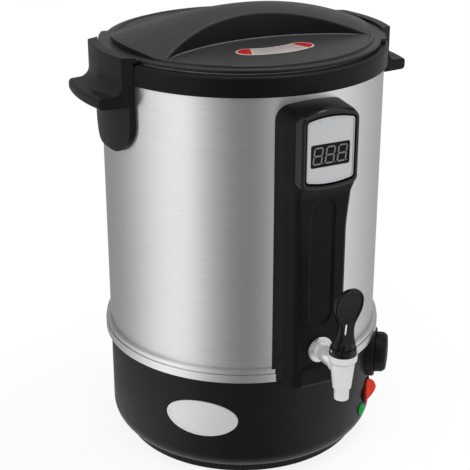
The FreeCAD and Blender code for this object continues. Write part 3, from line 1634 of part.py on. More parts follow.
def lever():
    """Lever: wide hub on the pin, waisted neck, paddle that leans away from the pot."""
    low = mm("lever_bottom")
    pin_level = mm("lever_pin_level")
    hub = mm("lever_hub_half_width")
    depth = mm("lever_hub_half_depth")
    neck_level = mm("lever_neck_level")
    paddle_level = mm("lever_paddle_level")
    tip_level = mm("lever_tip_level")
    neck = mm("lever_neck_half_width")
    paddle = mm("lever_paddle_half_width")
    thin = mm("lever_paddle_half_depth")
    neck_depth = mm("lever_neck_half_depth")
    neck_lean = mm("lever_neck_lean")
    paddle_lean = mm("lever_paddle_lean")
    tip_lean = mm("lever_tip_lean")

    def between(first, last, share):
        return first + (last - first) * share

    # each station: level, half width, half depth, lean away from the pot
    stations = [
        (low, hub, depth, 0.0),
        (pin_level, hub, depth, 0.0),
        (between(pin_level, neck_level, 0.33), between(hub, neck, 0.28), between(depth, neck_depth, 0.3),
         between(0, neck_lean, 0.3)),
        (between(pin_level, neck_level, 0.66), between(hub, neck, 0.76), between(depth, neck_depth, 0.7),
         between(0, neck_lean, 0.65)),
        (neck_level, neck, neck_depth, neck_lean),
        (between(neck_level, paddle_level, 0.3), between(neck, paddle, 0.14), between(neck_depth, thin, 0.3),
         between(neck_lean, paddle_lean, 0.2)),
        (between(neck_level, paddle_level, 0.6), between(neck, paddle, 0.65), between(neck_depth, thin, 0.6),
         between(neck_lean, paddle_lean, 0.5)),
        (paddle_level, paddle, thin, paddle_lean),
        (between(paddle_level, tip_level, 0.45), paddle * 0.9, thin * 0.85,
         between(paddle_lean, tip_lean, 0.42)),
        (between(paddle_level, tip_level, 0.8), paddle * 0.64, thin * 0.7,
         between(paddle_lean, tip_lean, 0.8)),
        (tip_level, paddle * 0.3, thin * 0.5, tip_lean),
    ]
    sections = []
    for level, half, thick, lean in stations:
        corner = min(half, thick) * 0.7
        corners = [(half, -lean - thick, corner), (half, -lean + thick, corner),
                   (-half, -lean + thick, corner), (-half, -lean - thick, corner)]
        section = rounded(corners, flat)
        section.translate(Vector(0, 0, level))
        sections.append(section)
    solid = Part.makeLoft(sections, True, False)
    slot = mm("lever_slot_half_width")
    front = depth - mm("lever_slot_wall")
    solid = solid.cut(block((-slot, -front, low - BITE), (slot, FAR, pin_level + mm("lever_slot_rise"))))
    solid = solid.cut(block((-slot, -FAR, low - BITE), (slot, FAR, pin_level - BITE)))
    bore = Part.makeCylinder(mm("lever_pin_radius + lever_bore_gap"), 2 * (hub + BITE),
                             Vector(-hub - BITE, 0, pin_level), Vector(1, 0, 0))
    return solid.cut(bore)


# ---------------------------------------------------------------- controls on the base

def make_dial():
    """Thermostat behind the wall, its shaft, the plain dial plate and the knob."""
    place = facing_out(wall_turn("dial_run"), mm("dial_level"))
    turned("thermostat", [
        ("zero", "thermostat_back"),
        ("thermostat_radius", "thermostat_back"),
        ("thermostat_radius", "dial_boss_back"),
        ("bushing_radius", "dial_boss_back"),
        ("bushing_radius", "bushing_reach"),
        ("shaft_radius + shaft_gap", "bushing_reach"),
        ("shaft_radius + shaft_gap", "shaft_back - shaft_gap"),
        ("zero", "shaft_back - shaft_gap"),
    ], place)
    turned("thermostat_shaft", [
        ("zero", "shaft_back"),
        ("shaft_radius", "shaft_back"),
        ("shaft_radius", "knob_shaft_reach"),
        ("zero", "knob_shaft_reach"),
    ], place)
    plate = turned("dial_plate", [
        ("bushing_radius + fit_gap", "dial_boss_face"),
        ("dial_plate_radius", "dial_boss_face"),
        ("dial_plate_radius", "dial_face"),
        ("bushing_radius + fit_gap", "dial_face"),
    ], place)
    round_rims(plate, [("dial_plate_radius", "dial_face")], "dial_plate_wall - fit_gap - fit_gap")
    knob = turned("thermostat_knob", [
        ("knob_radius - knob_wall", "knob_back"),
        ("knob_radius", "knob_back"),
        ("knob_radius - knob_draft", "knob_face"),
        ("zero", "knob_face"),
        ("zero", "knob_shaft_reach"),
        ("shaft_radius", "knob_shaft_reach"),
        ("shaft_radius", "bushing_reach + knob_hub_gap"),
        ("knob_hub_radius", "bushing_reach + knob_hub_gap"),
        ("knob_hub_radius", "knob_inside"),
        ("knob_radius - knob_wall", "knob_inside"),
    ], place)
    round_rims(knob, [("knob_radius - knob_draft", "knob_face")], "knob_round")


def make_switch():
    """Round rocker switch: flanged housing with blades, and the rocker on its two pivots."""
    turn = turned_to(wall_turn("rocker_run"))
    level = mm("rocker_level")
    face = mm("switch_face")
    back = mm("switch_back")
    barrel = mm("barrel_radius")
    frame = outward_rod(mm("switch_radius"), back, face, 0, level)
    flange = outward_rod(mm("rocker_flange_radius"), barrel - MARGIN, face, 0, level).cut(rod(barrel, 0, FAR))
    frame = frame.fuse(flange)
    cavity = outward_rod(mm("rocker_cavity_radius"), barrel - mm("switch_cavity"), face + BITE, 0, level)
    frame = frame.cut(cavity)
    pivot = -(barrel - mm("rocker_pivot_depth"))
    pin_reach = mm("rocker_pin_reach")
    pin_hole = Part.makeCylinder(mm("rocker_pin_radius + rocker_pin_gap"), 2 * (pin_reach + BITE),
                                 Vector(0, pivot, level - pin_reach - BITE))
    frame = frame.cut(pin_hole)
    blade_end = -back + mm("blade_length")
    half_wall = mm("blade_half_wall")
    half_tall = mm("blade_half_height")
    for side in (-1, 1):
        across = side * mm("blade_offset")
        blade = block((across - half_wall, -back, level - half_tall),
                      (across + half_wall, blade_end, level + half_tall))
        frame = frame.fuse(blade)
    shaped("rocker_frame", frame, turn)

    radius = mm("rocker_radius")
    rise = radius * math.tan(math.radians(mm("rocker_slope")))
    low = -(barrel - mm("rocker_back"))
    valley = -(barrel + mm("rocker_valley"))
    back_round = mm("rocker_back_round")
    tip_round = mm("rocker_tip_round")
    corners = [(-radius, low, back_round), (radius, low, back_round), (radius, valley - rise, tip_round),
               (0, valley, 0), (-radius, valley - rise, tip_round)]
    rocker = prism(corners, flat, Vector(0, 0, level - radius), Vector(0, 0, 2 * radius))
    rocker = rocker.common(outward_rod(radius, 0, FAR, 0, level))
    pins = Part.makeCylinder(mm("rocker_pin_radius"), 2 * pin_reach, Vector(0, pivot, level - pin_reach))
    pressed = Placement(CENTRE, Rotation(UP, -mm("rocker_tilt")), Vector(0, pivot, level))
    shaped("rocker", rocker.fuse(pins), turn.multiply(pressed))


def make_lamp():
    """Indicator lamp: black bezel and domed lens with its body behind the wall."""
    level = mm("lamp_level")
    barrel = mm("barrel_radius")
    turn = turned_to(wall_turn("lamp_run"))
    bezel = outward_rod(mm("lamp_bezel_radius"), barrel - BITE, barrel + mm("lamp_bezel_rise"), 0, level)
    bezel = bezel.cut(rod(barrel, 0, FAR))
    bezel = bezel.cut(outward_rod(mm("lamp_radius + lamp_gap"), 0, FAR, 0, level))
    shaped("indicator_bezel", bezel, turn)
    radius = mm("lamp_radius")
    rise = mm("lamp_rise")
    dome_height = rise - mm("lamp_brim")
    dome_radius = (radius ** 2 + dome_height ** 2) / (2 * dome_height)
    lens = outward_rod(radius, barrel - BITE, barrel + rise, 0, level).cut(rod(barrel, 0, FAR))
    centre = Vector(0, -(barrel + rise - dome_radius), level)
    lens = lens.common(Part.makeSphere(dome_radius, centre))
    stem_back = barrel - mm("lamp_body_depth")
    stem = outward_rod(mm("lamp_body_radius"), stem_back, barrel + mm("lamp_brim"), 0, level)
    shaped("indicator_lens", lens.fuse(stem).removeSplitter(), turn)


def make_inlet():
    """Three-pin mains inlet in the back of the base, on its own flange."""
    turn = turned_to(180.0)
    level = mm("inlet_level")
    wide = mm("inlet_half_width")
    tall = mm("inlet_half_height")
    wall = mm("inlet_wall")
    face = mm("inlet_face")
    back = mm("inlet_back")
    barrel = mm("barrel_radius")
    flange_wide = wide + wall + mm("inlet_flange")
    flange_tall = tall + wall + mm("inlet_flange") / 2
    corner = mm("inlet_flange_corner")
    flange_plan = both_sides([
        (flange_wide, level - flange_tall, corner),
        (flange_wide, level + flange_tall, corner),
    ])
    flange = forward(flange_plan, barrel - MARGIN, face).cut(rod(barrel, 0, FAR))
    housing = block((-wide - wall, -face, level - tall - wall), (wide + wall, -back, level + tall + wall))
    chamfer = mm("inlet_chamfer")
    mouth = both_sides([(wide, level - tall, mm("inlet_corner")), (wide, level + tall - chamfer, 0),
                        (wide - chamfer, level + tall, 0)])
    socket = flange.fuse(housing).cut(forward(mouth, back + wall, face + MARGIN))
    pins = []
    half_wide = mm("inlet_pin_half_width")
    half_tall = mm("inlet_pin_half_height")
    spread = mm("inlet_pin_spread")
    shift = mm("inlet_pin_offset") / 2
    places = ((-spread, -shift), (spread, -shift), (0.0, shift))
    for across, up in places:
        pin = block((across - half_wide, -face + mm("inlet_pin_recess"), level + up - half_tall),
                    (across + half_wide, -back + mm("inlet_pin_tail"), level + up + half_tall))
        socket = socket.cut(pin)
        pins.append(pin)
    shaped("power_inlet", socket.removeSplitter(), turn)
    shaped("inlet_pins", Part.makeCompound(pins), turn)


def make_badge():
    """Plain oval plate bent to the base, with a thin raised border."""
    level = mm("badge_level")
    barrel = mm("barrel_radius")

    def oval(inset, rise):
        """Shell of the base's curve, trimmed to an oval."""
        half_width = mm("badge_half_width") - inset
        ellipse = Part.Ellipse(CENTRE, half_width, mm("badge_half_height") - inset)
        face = Part.Face(Part.Wire([ellipse.toShape()]))
        face.rotate(CENTRE, Vector(1, 0, 0), 90)
        face.translate(Vector(0, 0, level))
        column = face.extrude(Vector(0, -FAR, 0))
        return rod(barrel + rise, 0, level + FAR).cut(rod(barrel, 0, level + FAR)).common(column)

    plate = oval(0, mm("badge_wall") + mm("badge_border_rise"))
    plate = plate.cut(oval(mm("badge_border"), FAR).cut(rod(barrel + mm("badge_wall"), 0, level + FAR)))
    shaped("badge", plate, turned_to(wall_turn("badge_run")))


make_base()
make_bottom()
make_barrel()
make_pot()
make_lid()
make_handles()
make_column()
make_display()
make_tap()
make_dial()
make_switch()
make_lamp()
make_inlet()
make_badge()
doc.recompute()

for item in doc.Objects:
    for state in ("Invalid", "Error"):
        if state in item.State:
            raise RuntimeError(item.Label + " is " + state)
for piece in NODES:
    if piece.Shape.isNull() or not piece.Shape.isValid():
        raise RuntimeError(piece.Label + " has no valid shape")
    if not piece.Shape.Solids:
        raise RuntimeError(piece.Label + " holds no solid")

os.makedirs("parts", exist_ok=True)
for piece in NODES:
    piece.Shape.exportStep("parts/" + piece.Label + ".step")
    print(piece.Label, len(piece.Shape.Solids), round(piece.Shape.Volume))
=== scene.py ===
import bmesh
import bpy
import json
import math
from mathutils import Matrix, Vector


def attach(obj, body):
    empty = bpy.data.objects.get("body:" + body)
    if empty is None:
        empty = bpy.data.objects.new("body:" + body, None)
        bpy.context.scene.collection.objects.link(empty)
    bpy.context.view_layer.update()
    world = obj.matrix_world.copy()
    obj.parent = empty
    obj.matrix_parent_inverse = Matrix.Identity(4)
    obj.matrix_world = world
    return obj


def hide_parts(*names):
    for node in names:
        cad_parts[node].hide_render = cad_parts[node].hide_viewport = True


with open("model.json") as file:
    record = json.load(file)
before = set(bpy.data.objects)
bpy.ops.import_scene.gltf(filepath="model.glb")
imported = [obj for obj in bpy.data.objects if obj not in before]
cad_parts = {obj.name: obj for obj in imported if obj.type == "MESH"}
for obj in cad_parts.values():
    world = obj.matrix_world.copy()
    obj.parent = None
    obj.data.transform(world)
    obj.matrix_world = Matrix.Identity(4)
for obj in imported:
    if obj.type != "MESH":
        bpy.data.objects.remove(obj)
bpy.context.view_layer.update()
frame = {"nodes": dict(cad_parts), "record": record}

# Looks of the candle wax melter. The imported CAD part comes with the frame, and the pieces made
# here ride on its bodies. Lengths are in millimetres until finish_mesh scales them, angles in
# degrees, +Z is up and the tap faces -Y. "Depth" is the distance from the pot's axis toward -Y.
MM = 0.001
NODES = frame["nodes"]
SCENE = bpy.context.scene


# ------------------------------------------------------------------ numbers

def held(value):
    """Value held between 0 and 1."""
    return min(max(value, 0.0), 1.0)


def smooth(first, last, value):
    """Soft step from 0 to 1 between two values."""
    share = held((value - first) / (last - first))
    return share * share * (3 - 2 * share)


def blend(first, last, share):
    return first + (last - first) * share


def shares(steps, first=0):
    """Shares of a run in equal steps up to 1."""
    return [step / steps for step in range(first, steps + 1)]


def turns(steps):
    """Angles of a full turn in equal steps, in radians."""
    return [2 * math.pi * step / steps for step in range(steps)]


def polar(radius, angle):
    return radius * math.cos(angle), radius * math.sin(angle)


# ------------------------------------------------------------------ mesh helpers

def finish_mesh(name, mesh_data, material, stands_for=None, body="urn", sharp=40.0):
    """Turn bmesh data in millimetres into a piece that rides on a body."""
    bmesh.ops.remove_doubles(mesh_data, verts=mesh_data.verts, dist=1e-5)
    bmesh.ops.recalc_face_normals(mesh_data, faces=mesh_data.faces)
    limit = math.radians(sharp)
    for face in mesh_data.faces:
        face.smooth = True
    for edge in mesh_data.edges:
        if len(edge.link_faces) == 2 and edge.calc_face_angle(0.0) > limit:
            edge.smooth = False
    bmesh.ops.scale(mesh_data, vec=(MM, MM, MM), verts=mesh_data.verts)
    piece = add_object(name, mesh_data)
    piece.data.materials.append(material)
    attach(piece, body)
    if stands_for:
        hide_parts(stands_for)
    return piece


def add_object(name, mesh_data):
    """Object made of bmesh data, which is freed."""
    mesh = bpy.data.meshes.new(name)
    mesh_data.to_mesh(mesh)
    mesh_data.free()
    made = bpy.data.objects.new(name, mesh)
    SCENE.collection.objects.link(made)
    return made


def arc_points(start, corner, end, radius, steps):
    """Points that round the corner of a profile."""
    here = Vector(corner)
    back = (Vector(start) - here).normalized()
    on = (Vector(end) - here).normalized()
    half = back.angle(on) / 2
    if half < 1e-3 or abs(half - math.pi / 2) < 1e-3:
        return [here]
    reach = radius / math.tan(half)
    centre = here + (back + on).normalized() * (radius / math.sin(half))
    first = here + back * reach - centre
    last = here + on * reach - centre
    swept = math.pi - 2 * half
    points = []
    for share in shares(steps):
        swing = first * math.sin(swept * (1 - share)) + last * math.sin(swept * share)
        points.append(centre + swing / math.sin(swept))
    return points


def rounded(corners, closed=True, steps=4):
    """Profile points of (across, up) or (across, up, radius) corners."""
    points = []
    count = len(corners)
    for index, corner in enumerate(corners):
        if len(corner) > 2 and (closed or 0 < index < count - 1):
            before = corners[index - 1][:2]
            after = corners[(index + 1) % count][:2]
            points.extend(arc_points(before, corner[:2], after, corner[2], steps))
        else:
            points.append(Vector(corner[:2]))
    return points


def skin(rings, closed_ring=True, closed_path=False, caps=False, data=None):
    """Quads between rings of equal length."""
    if data is None:
        data = bmesh.new()
    rows = [[data.verts.new(point) for point in ring] for ring in rings]
    count = len(rows[0])
    path = len(rows) if closed_path else len(rows) - 1
    around = count if closed_ring else count - 1
    for row in range(path):
        first = rows[row]
        last = rows[(row + 1) % len(rows)]
        for index in range(around):
            on = (index + 1) % count
            data.faces.new((first[index], first[on], last[on], last[index]))
    if caps:
        data.faces.new(rows[0])
        data.faces.new(rows[-1])
    return data


def lathe(profile, steps, place, cut=None, closed=True, data=None):
    """Turn (radius, level) points round the placed Z axis; cut(angle, radius, level) is taken
    off the radius."""
    rings = []
    for angle in turns(steps):
        ring = []
        for radius, level in profile:
            if cut:
                radius -= cut(angle, radius, level)
            ring.append(place @ Vector((*polar(radius, angle), level)))
        rings.append(ring)
    return skin(rings, closed_ring=closed, closed_path=True, data=data)


def turned(name, corners, steps, place, material, stands_for=None, sharp=40.0, bend=4):
    """Piece turned from a closed profile of rounded corners."""
    data = lathe(rounded(corners, True, bend), steps, place)
    finish_mesh(name, data, material, stands_for, sharp=sharp)


def facing_out(turn, level):
    """Matrix that points local Z outward from the pot's axis at an angle and level."""
    return (Matrix.Translation((0, 0, level)) @ Matrix.Rotation(math.radians(turn), 4, "Z")
            @ Matrix.Rotation(math.radians(90), 4, "X"))


# ------------------------------------------------------------------ node helpers

def new_material(name):
    material = bpy.data.materials.new(name)
    material.use_nodes = True
    return material, material.node_tree, material.node_tree.nodes["Principled BSDF"]


def node(tree, kind, **values):
    made = tree.nodes.new("ShaderNode" + kind)
    for key, value in values.items():
        if key in made.inputs:
            made.inputs[key].default_value = value
        else:
            setattr(made, key, value)
    return made


def calculate(tree, operation, *sources, clamp=False):
    """Math over linked sockets and plain numbers."""
    made = node(tree, "Math", operation=operation, use_clamp=clamp)
    for socket, source in zip(made.inputs, sources):
        if isinstance(source, float):
            socket.default_value = source
        else:
            tree.links.new(source, socket)
    return made.outputs["Value"]


def mapped(tree, value, span, result):
    """Value's span mapped to a result's span, and held at its ends."""
    made = node(tree, "MapRange")
    ends = ("From Min", "From Max", "To Min", "To Max")
    for name, number in zip(ends, (*span, *result)):
        made.inputs[name].default_value = number
    tree.links.new(value, made.inputs["Value"])
    return made.outputs["Result"]


def scaled(tree, colour, factor):
    """Colour, plain or linked, times a linked number."""
    made = node(tree, "VectorMath", operation="SCALE")
    if isinstance(colour, tuple):
        made.inputs[0].default_value = colour
    else:
        tree.links.new(colour, made.inputs[0])
    tree.links.new(factor, made.inputs["Scale"])
    return made.outputs["Vector"]


def object_place(tree):
    return node(tree, "TexCoord").outputs["Object"]


def noise(tree, place, scale, detail=3.0, stretch=None):
    if stretch:
        mapping = node(tree, "Mapping", Scale=stretch)
        tree.links.new(place, mapping.inputs["Vector"])
        place = mapping.outputs["Vector"]
    made = node(tree, "TexNoise", Scale=scale, Detail=detail)
    tree.links.new(place, made.inputs["Vector"])
    return made.outputs["Fac"]


def spread_over(tree, factor, low, high):
    """Noise spread over a range of numbers."""
    return mapped(tree, factor, (0.25, 0.75), (low, high))


def raise_bumps(tree, shader, height, strength, distance):
    bump = node(tree, "Bump", Strength=strength, Distance=distance)
    tree.links.new(height, bump.inputs["Height"])
    tree.links.new(bump.outputs["Normal"], shader.inputs["Normal"])


# ------------------------------------------------------------------ kinds of material

# noise scales of moulded plastic and of plated metal, over metres
MOTTLE_SCALE = 42.0
GLOSS_SCALE = 90.0
GRAIN_SCALE = 2600.0
GRAIN_DEPTH = 0.0002
MARKS_SCALE = 160.0
MARKS_GLOSS_SCALE = 352.0
FINE_DEPTH = 0.0001
# upward parts of the normal between which the painted top light sets in: level faces are
# lightened as if lit from above
TOP_LIGHT_RUN = (0.5, 0.97)
# stretches of the brushing's noises over (turn, 1, level)
FINE_LINES = (5.0, 1.0, 5200.0)
BROAD_LINES = (1.6, 1.0, 420.0)
GLOSS_LINES = (9.0, 1.0, 2600.0)


def moulded(name, colour, rough, grain=0.06, spread=0.12, specular=0.5, top_light=1.0):
    """Moulded plastic: faint mottling, uneven gloss, a fine grain, and painted top light that
    lightens its level faces as if light fell on them from above."""
    material, tree, shader = new_material(name)
    place = object_place(tree)
    shader.inputs["Specular IOR Level"].default_value = specular
    mottle = spread_over(tree, noise(tree, place, MOTTLE_SCALE), 1.0 - spread, 1.0 + spread)
    shade = scaled(tree, colour, mottle)
    # painted light: faces that point up are lightened by the upward part of their normal,
    # standing in for light from above
    if top_light != 1.0:
        upward = node(tree, "SeparateXYZ")
        normal = node(tree, "NewGeometry").outputs["Normal"]
        tree.links.new(normal, upward.inputs["Vector"])
        shade = scaled(tree, shade, mapped(tree, upward.outputs["Z"], TOP_LIGHT_RUN, (1.0, top_light)))
    tree.links.new(shade, shader.inputs["Base Color"])
    gloss = spread_over(tree, noise(tree, place, GLOSS_SCALE), rough - 0.04, rough + 0.05)
    tree.links.new(gloss, shader.inputs["Roughness"])
    raise_bumps(tree, shader, noise(tree, place, GRAIN_SCALE, 2.0), grain, GRAIN_DEPTH)
    return material


def brushed_round(name, colour, rough, anisotropy, bump=0.05):
    """Sheet steel brushed round the pot's axis: fine level lines of uneven gloss."""
    material, tree, shader = new_material(name)
    shader.inputs["Metallic"].default_value = 1.0
    shader.inputs["Anisotropic"].default_value = anisotropy
    shader.inputs["Anisotropic Rotation"].default_value = 0.25
    tangent = node(tree, "Tangent", direction_type="RADIAL", axis="Z")
    tree.links.new(tangent.outputs["Tangent"], shader.inputs["Tangent"])
    split = node(tree, "SeparateXYZ")
    tree.links.new(object_place(tree), split.inputs["Vector"])
    wrapped = node(tree, "CombineXYZ")
    turn = calculate(tree, "ARCTAN2", split.outputs["Y"], split.outputs["X"])
    tree.links.new(turn, wrapped.inputs["X"])
    tree.links.new(split.outputs["Z"], wrapped.inputs["Z"])
    around = wrapped.outputs["Vector"]
    fine = noise(tree, around, 1.0, 4.0, FINE_LINES)
    broad = noise(tree, around, 1.0, 2.0, BROAD_LINES)
    streak = noise(tree, around, 1.0, 3.0, GLOSS_LINES)
    tone = calculate(tree, "MULTIPLY", spread_over(tree, fine, 0.93, 1.05),
                     spread_over(tree, broad, 0.97, 1.03))
    tree.links.new(scaled(tree, colour, tone), shader.inputs["Base Color"])
    gloss = spread_over(tree, streak, rough - 0.05, rough + 0.07)
    tree.links.new(gloss, shader.inputs["Roughness"])
    raise_bumps(tree, shader, fine, bump, FINE_DEPTH)
    return material


def plain_metal(name, colour, rough, metallic=1.0):
    """Plated or cast metal with faint handling marks."""
    material, tree, shader = new_material(name)
    shader.inputs["Metallic"].default_value = metallic
    place = object_place(tree)
    mottle = spread_over(tree, noise(tree, place, MARKS_SCALE), 0.96, 1.04)
    tree.links.new(scaled(tree, colour, mottle), shader.inputs["Base Color"])
    gloss = spread_over(tree, noise(tree, place, MARKS_GLOSS_SCALE), rough * 0.8, rough * 1.25)
    tree.links.new(gloss, shader.inputs["Roughness"])
    return material


def sparkle_print(name, colour, rough):
    """Silver-painted label: a fine bright and dark flake over a pale ground."""
    material, tree, shader = new_material(name)
    shader.inputs["Metallic"].default_value = 0.35
    place = object_place(tree)
    flake = noise(tree, place, 1900.0, 2.0)
    tone = spread_over(tree, flake, 0.84, 1.12)
    tree.links.new(scaled(tree, colour, tone), shader.inputs["Base Color"])
    gloss = spread_over(tree, noise(tree, place, 700.0), rough - 0.06, rough + 0.1)
    tree.links.new(gloss, shader.inputs["Roughness"])
    raise_bumps(tree, shader, flake, 0.1, FINE_DEPTH)
    return material


def clear_plastic(name, deep, bright, rough, specular=0.10):
    """Tinted lens plastic, clouded between a deep and a bright colour."""
    material, tree, shader = new_material(name)
    shader.inputs["Specular IOR Level"].default_value = specular
    place = object_place(tree)
    mix = node(tree, "Mix", data_type="RGBA")
    mix.inputs[6].default_value = (*deep, 1)
    mix.inputs[7].default_value = (*bright, 1)
    tree.links.new(spread_over(tree, noise(tree, place, 60.0), 0.35, 0.8), mix.inputs[0])
    tree.links.new(mix.outputs[2], shader.inputs["Base Color"])
    gloss = spread_over(tree, noise(tree, place, 300.0), rough * 0.8, rough * 1.3)
    tree.links.new(gloss, shader.inputs["Roughness"])
    return material


# ------------------------------------------------------------------ materials

# black plastics
BLACK = moulded("black_plastic", (0.0064, 0.0064, 0.0067), 0.36, specular=0.14)
COLUMN = moulded("column_plastic", (0.0052, 0.0052, 0.0055), 0.36, specular=0.08)
# lid, ring and handles get painted top light on their level faces
LID = moulded("lid_plastic", (0.0052, 0.0052, 0.0055), 0.38, specular=0.26, top_light=6.0)
RING = moulded("ring_plastic", (0.0034, 0.0034, 0.0036), 0.34, specular=0.12, top_light=3.0)
HANDLE = moulded("handle_plastic", (0.0060, 0.0060, 0.0063), 0.36, specular=0.15, top_light=2.4)
# pale grey for the ridge's foot bead: painted highlight of the light caught along the foot
BEAD_HIGHLIGHT = moulded("ridge_bead_highlight", (0.11, 0.11, 0.112), 0.35, grain=0.0, specular=0.4)
BEZEL = moulded("bezel_plastic", (0.0045, 0.0045, 0.0048), 0.20, grain=0.02, specular=0.32)
FITTING = moulded("black_fittings", (0.0040, 0.0040, 0.0043), 0.24, grain=0.03, specular=0.30)
KNOB = moulded("knob_black", (0.0055, 0.0055, 0.0058), 0.45, grain=0.03, specular=0.10)
GLOSS = moulded("bonnet_gloss", (0.0026, 0.0026, 0.0029), 0.12, grain=0.0, specular=0.26)
LEVER_BLACK = moulded("lever_black", (0.0040, 0.0040, 0.0043), 0.20, grain=0.03, specular=0.15)
DIAL = moulded("dial_face", (0.016, 0.016, 0.016), 0.42)
RUBBER = moulded("rubber", (0.022, 0.022, 0.022), 0.72, grain=0.15)

# steel, plating and castings
STEEL = brushed_round("brushed_steel", (0.66, 0.66, 0.665), 0.30, 0.75)
TRIM = brushed_round("polished_steel", (0.72, 0.72, 0.72), 0.20, 0.5, bump=0.02)
POT = brushed_round("pot_steel", (0.70, 0.70, 0.70), 0.28, 0.6)
CHROME = plain_metal("chrome", (0.86, 0.86, 0.87), 0.07)
SHANK = plain_metal("shank_plated", (0.88, 0.88, 0.89), 0.11, metallic=0.52)
FLANGE = plain_metal("flange_plated", (0.60, 0.60, 0.61), 0.22)
RIM = plain_metal("label_rim", (0.52, 0.52, 0.53), 0.30)
ZINC = plain_metal("zinc_steel", (0.60, 0.61, 0.62), 0.32)
ALUMINIUM = plain_metal("aluminium", (0.72, 0.72, 0.73), 0.38)
ELEMENT = plain_metal("element_steel", (0.33, 0.32, 0.31), 0.42)
BRASS = plain_metal("inlet_brass", (0.70, 0.66, 0.52), 0.25)

# pale plastics, prints and the display
SILVER = moulded("silver_tap", (0.63, 0.63, 0.64), 0.36, grain=0.03, spread=0.04)
SILICONE = moulded("silicone", (0.62, 0.61, 0.58), 0.5, grain=0.05, spread=0.05)
INLAY = moulded("lever_inlay", (0.75, 0.75, 0.75), 0.4, grain=0.0, spread=0.03)
LABEL = sparkle_print("silver_label", (0.50, 0.51, 0.52), 0.42)
BADGE = sparkle_print("badge_face", (0.66, 0.66, 0.665), 0.36)
WINDOW = moulded("dark_window", (0.006, 0.006, 0.007), 0.30, grain=0.0, specular=0.08)
MODULE = moulded("display_module", (0.02, 0.02, 0.02), 0.35)
SEGMENT = moulded("unlit_segment", (0.19, 0.19, 0.195), 0.5, grain=0.0, spread=0.10,
                  specular=0.1)
BOARD = moulded("circuit_board", (0.02, 0.09, 0.04), 0.4)
STRIP_EDGE = moulded("strip_edge", (0.52, 0.47, 0.43), 0.5, grain=0.0, spread=0.06,
                     specular=0.2)
STRIP_RED = moulded("strip_red", (0.36, 0.006, 0.004), 0.5, grain=0.0, spread=0.10,
                    specular=0.15)
STRIP_GREY = moulded("strip_grey", (0.33, 0.29, 0.29), 0.5, grain=0.0, spread=0.12,
                     specular=0.2)

# lenses
RED = clear_plastic("red_rocker", (0.44, 0.006, 0.002), (0.92, 0.060, 0.016), 0.22)
# darker copy of the red lens: painted shade for the rocker's near half
RED_SHADED = clear_plastic("red_rocker_painted_shade", (0.16, 0.003, 0.002), (0.38, 0.016, 0.008), 0.45,
                         specular=0.02)
GREEN = clear_plastic("green_lens", (0.001, 0.12, 0.020), (0.002, 0.50, 0.09), 0.22)

SLOTS = {
    "black_plastic": BLACK, "black_fittings": FITTING, "brushed_steel": STEEL,
    "polished_steel": TRIM, "pot_steel": POT, "chrome": CHROME, "silver_tap": SILVER,
    "rubber": RUBBER, "silicone": SILICONE, "zinc_steel": ZINC, "aluminium": ALUMINIUM,
    "element_steel": ELEMENT, "silver_label": LABEL, "badge_face": BADGE,
    "dark_window": WINDOW, "display_module": MODULE, "circuit_board": BOARD,
    "dial_face": DIAL, "red_rocker": RED, "green_lens": GREEN, "inlet_brass": BRASS,
}
OWN = {"dial_plate": KNOB, "lid": LID, "top_ring": RING, "left_handle": HANDLE,
       "right_handle": HANDLE}
for row in frame["record"]["subparts"]:
    surfaces = NODES[row["node"]].data.materials
    surfaces.clear()
    surfaces.append(OWN.get(row["node"], SLOTS[row["material_slot"]]))


# ------------------------------------------------------------------ column and display head

# corners of the sections as (half width, depth), from the wall to the front face
COLUMN_BASE = (34.0, 125.3)
COLUMN_WAIST = (30.9, 137.5)
COLUMN_SHOULDER = (25.2, 147.8)
COLUMN_FRONT = (22.0, 151.0)
HEAD_WAIST = (33.2, 138.5)
HEAD_SHOULDER = (30.6, 151.0)
HEAD_FRONT = (26.4, 157.9)
# radii at the waist, the shoulder and the front
SECTION_ROUNDS = (12.0, 4.5, 2.6)
COLUMN_LOW = 106.5
COLUMN_DEPTH = 26.0
FOOT_ROUND = 2.4
HEAD_LOW = 303.0
# level at which the column begins to step out to the head's section
STEP_LOW = 286.0
# how far the column widens below the head, and between which levels
FLARE = 2.9
FLARE_RUN = (250.0, 300.0)
# head's crown at two depths: depth, level of its sides, rise of its arch, corner radius
CROWN_BACK = (120.0, 364.0, 3.6, 12.0)
CROWN_FRONT = (154.0, 359.0, 7.3, 6.5)
CROWN_ROUND = 1.5
# grip track: half width, low end, high end, depth
TRACK = (11.8, 166.5, 286.2, 1.6)
# pad under the tap: half width, top, rise, corner
PAD = (21.0, 127.4, 2.4, 8.0)
# share of the pad's rise that its rounded foot has
PAD_FOOT_SHARE = 0.6


def column_corners(level):
    """Waist, shoulder and front corners of the column's section at a level."""
    flare = smooth(*FLARE_RUN, level) * FLARE
    step = smooth(STEP_LOW, HEAD_LOW, level)
    corners = []
    for column, head, wider, deeper in ((COLUMN_WAIST, HEAD_WAIST, 0.4, 0.0),
                                        (COLUMN_SHOULDER, HEAD_SHOULDER, 1.0, 0.6),
                                        (COLUMN_FRONT, HEAD_FRONT, 1.0, 0.6)):
        corners.append((blend(column[0] + flare * wider, head[0], step),
                        blend(column[1] + flare * deeper, head[1], step)))
    return corners


def column_section(level):
    """Points (across, depth) of the section from its right root round to its left root."""
    corners = column_corners(level)
    bent = [(*corner, radius) for corner, radius in zip(corners, SECTION_ROUNDS)]
    side = rounded([COLUMN_BASE, *bent, (0.0, corners[-1][1])], False, 6)[:-1]
    root, first, last = side[0], side[1], side[-1]
    lead = [root.lerp(first, share) for share in shares(5)[1:-1]]
    flat = [Vector((last.x * (1 - share), last.y)) for share in shares(30, 1)]
    half = [root] + lead + side[1:] + flat
    return half + [Vector((-point.x, point.y)) for point in reversed(half[:-1])]


def drawn_in(section, amount):
    """Section pulled toward its root line."""
    narrower = 1 - amount / COLUMN_BASE[0]
    shallower = 1 - amount / COLUMN_DEPTH
    return [Vector((point.x * narrower, blend(COLUMN_BASE[1], point.y, shallower)))
            for point in section]


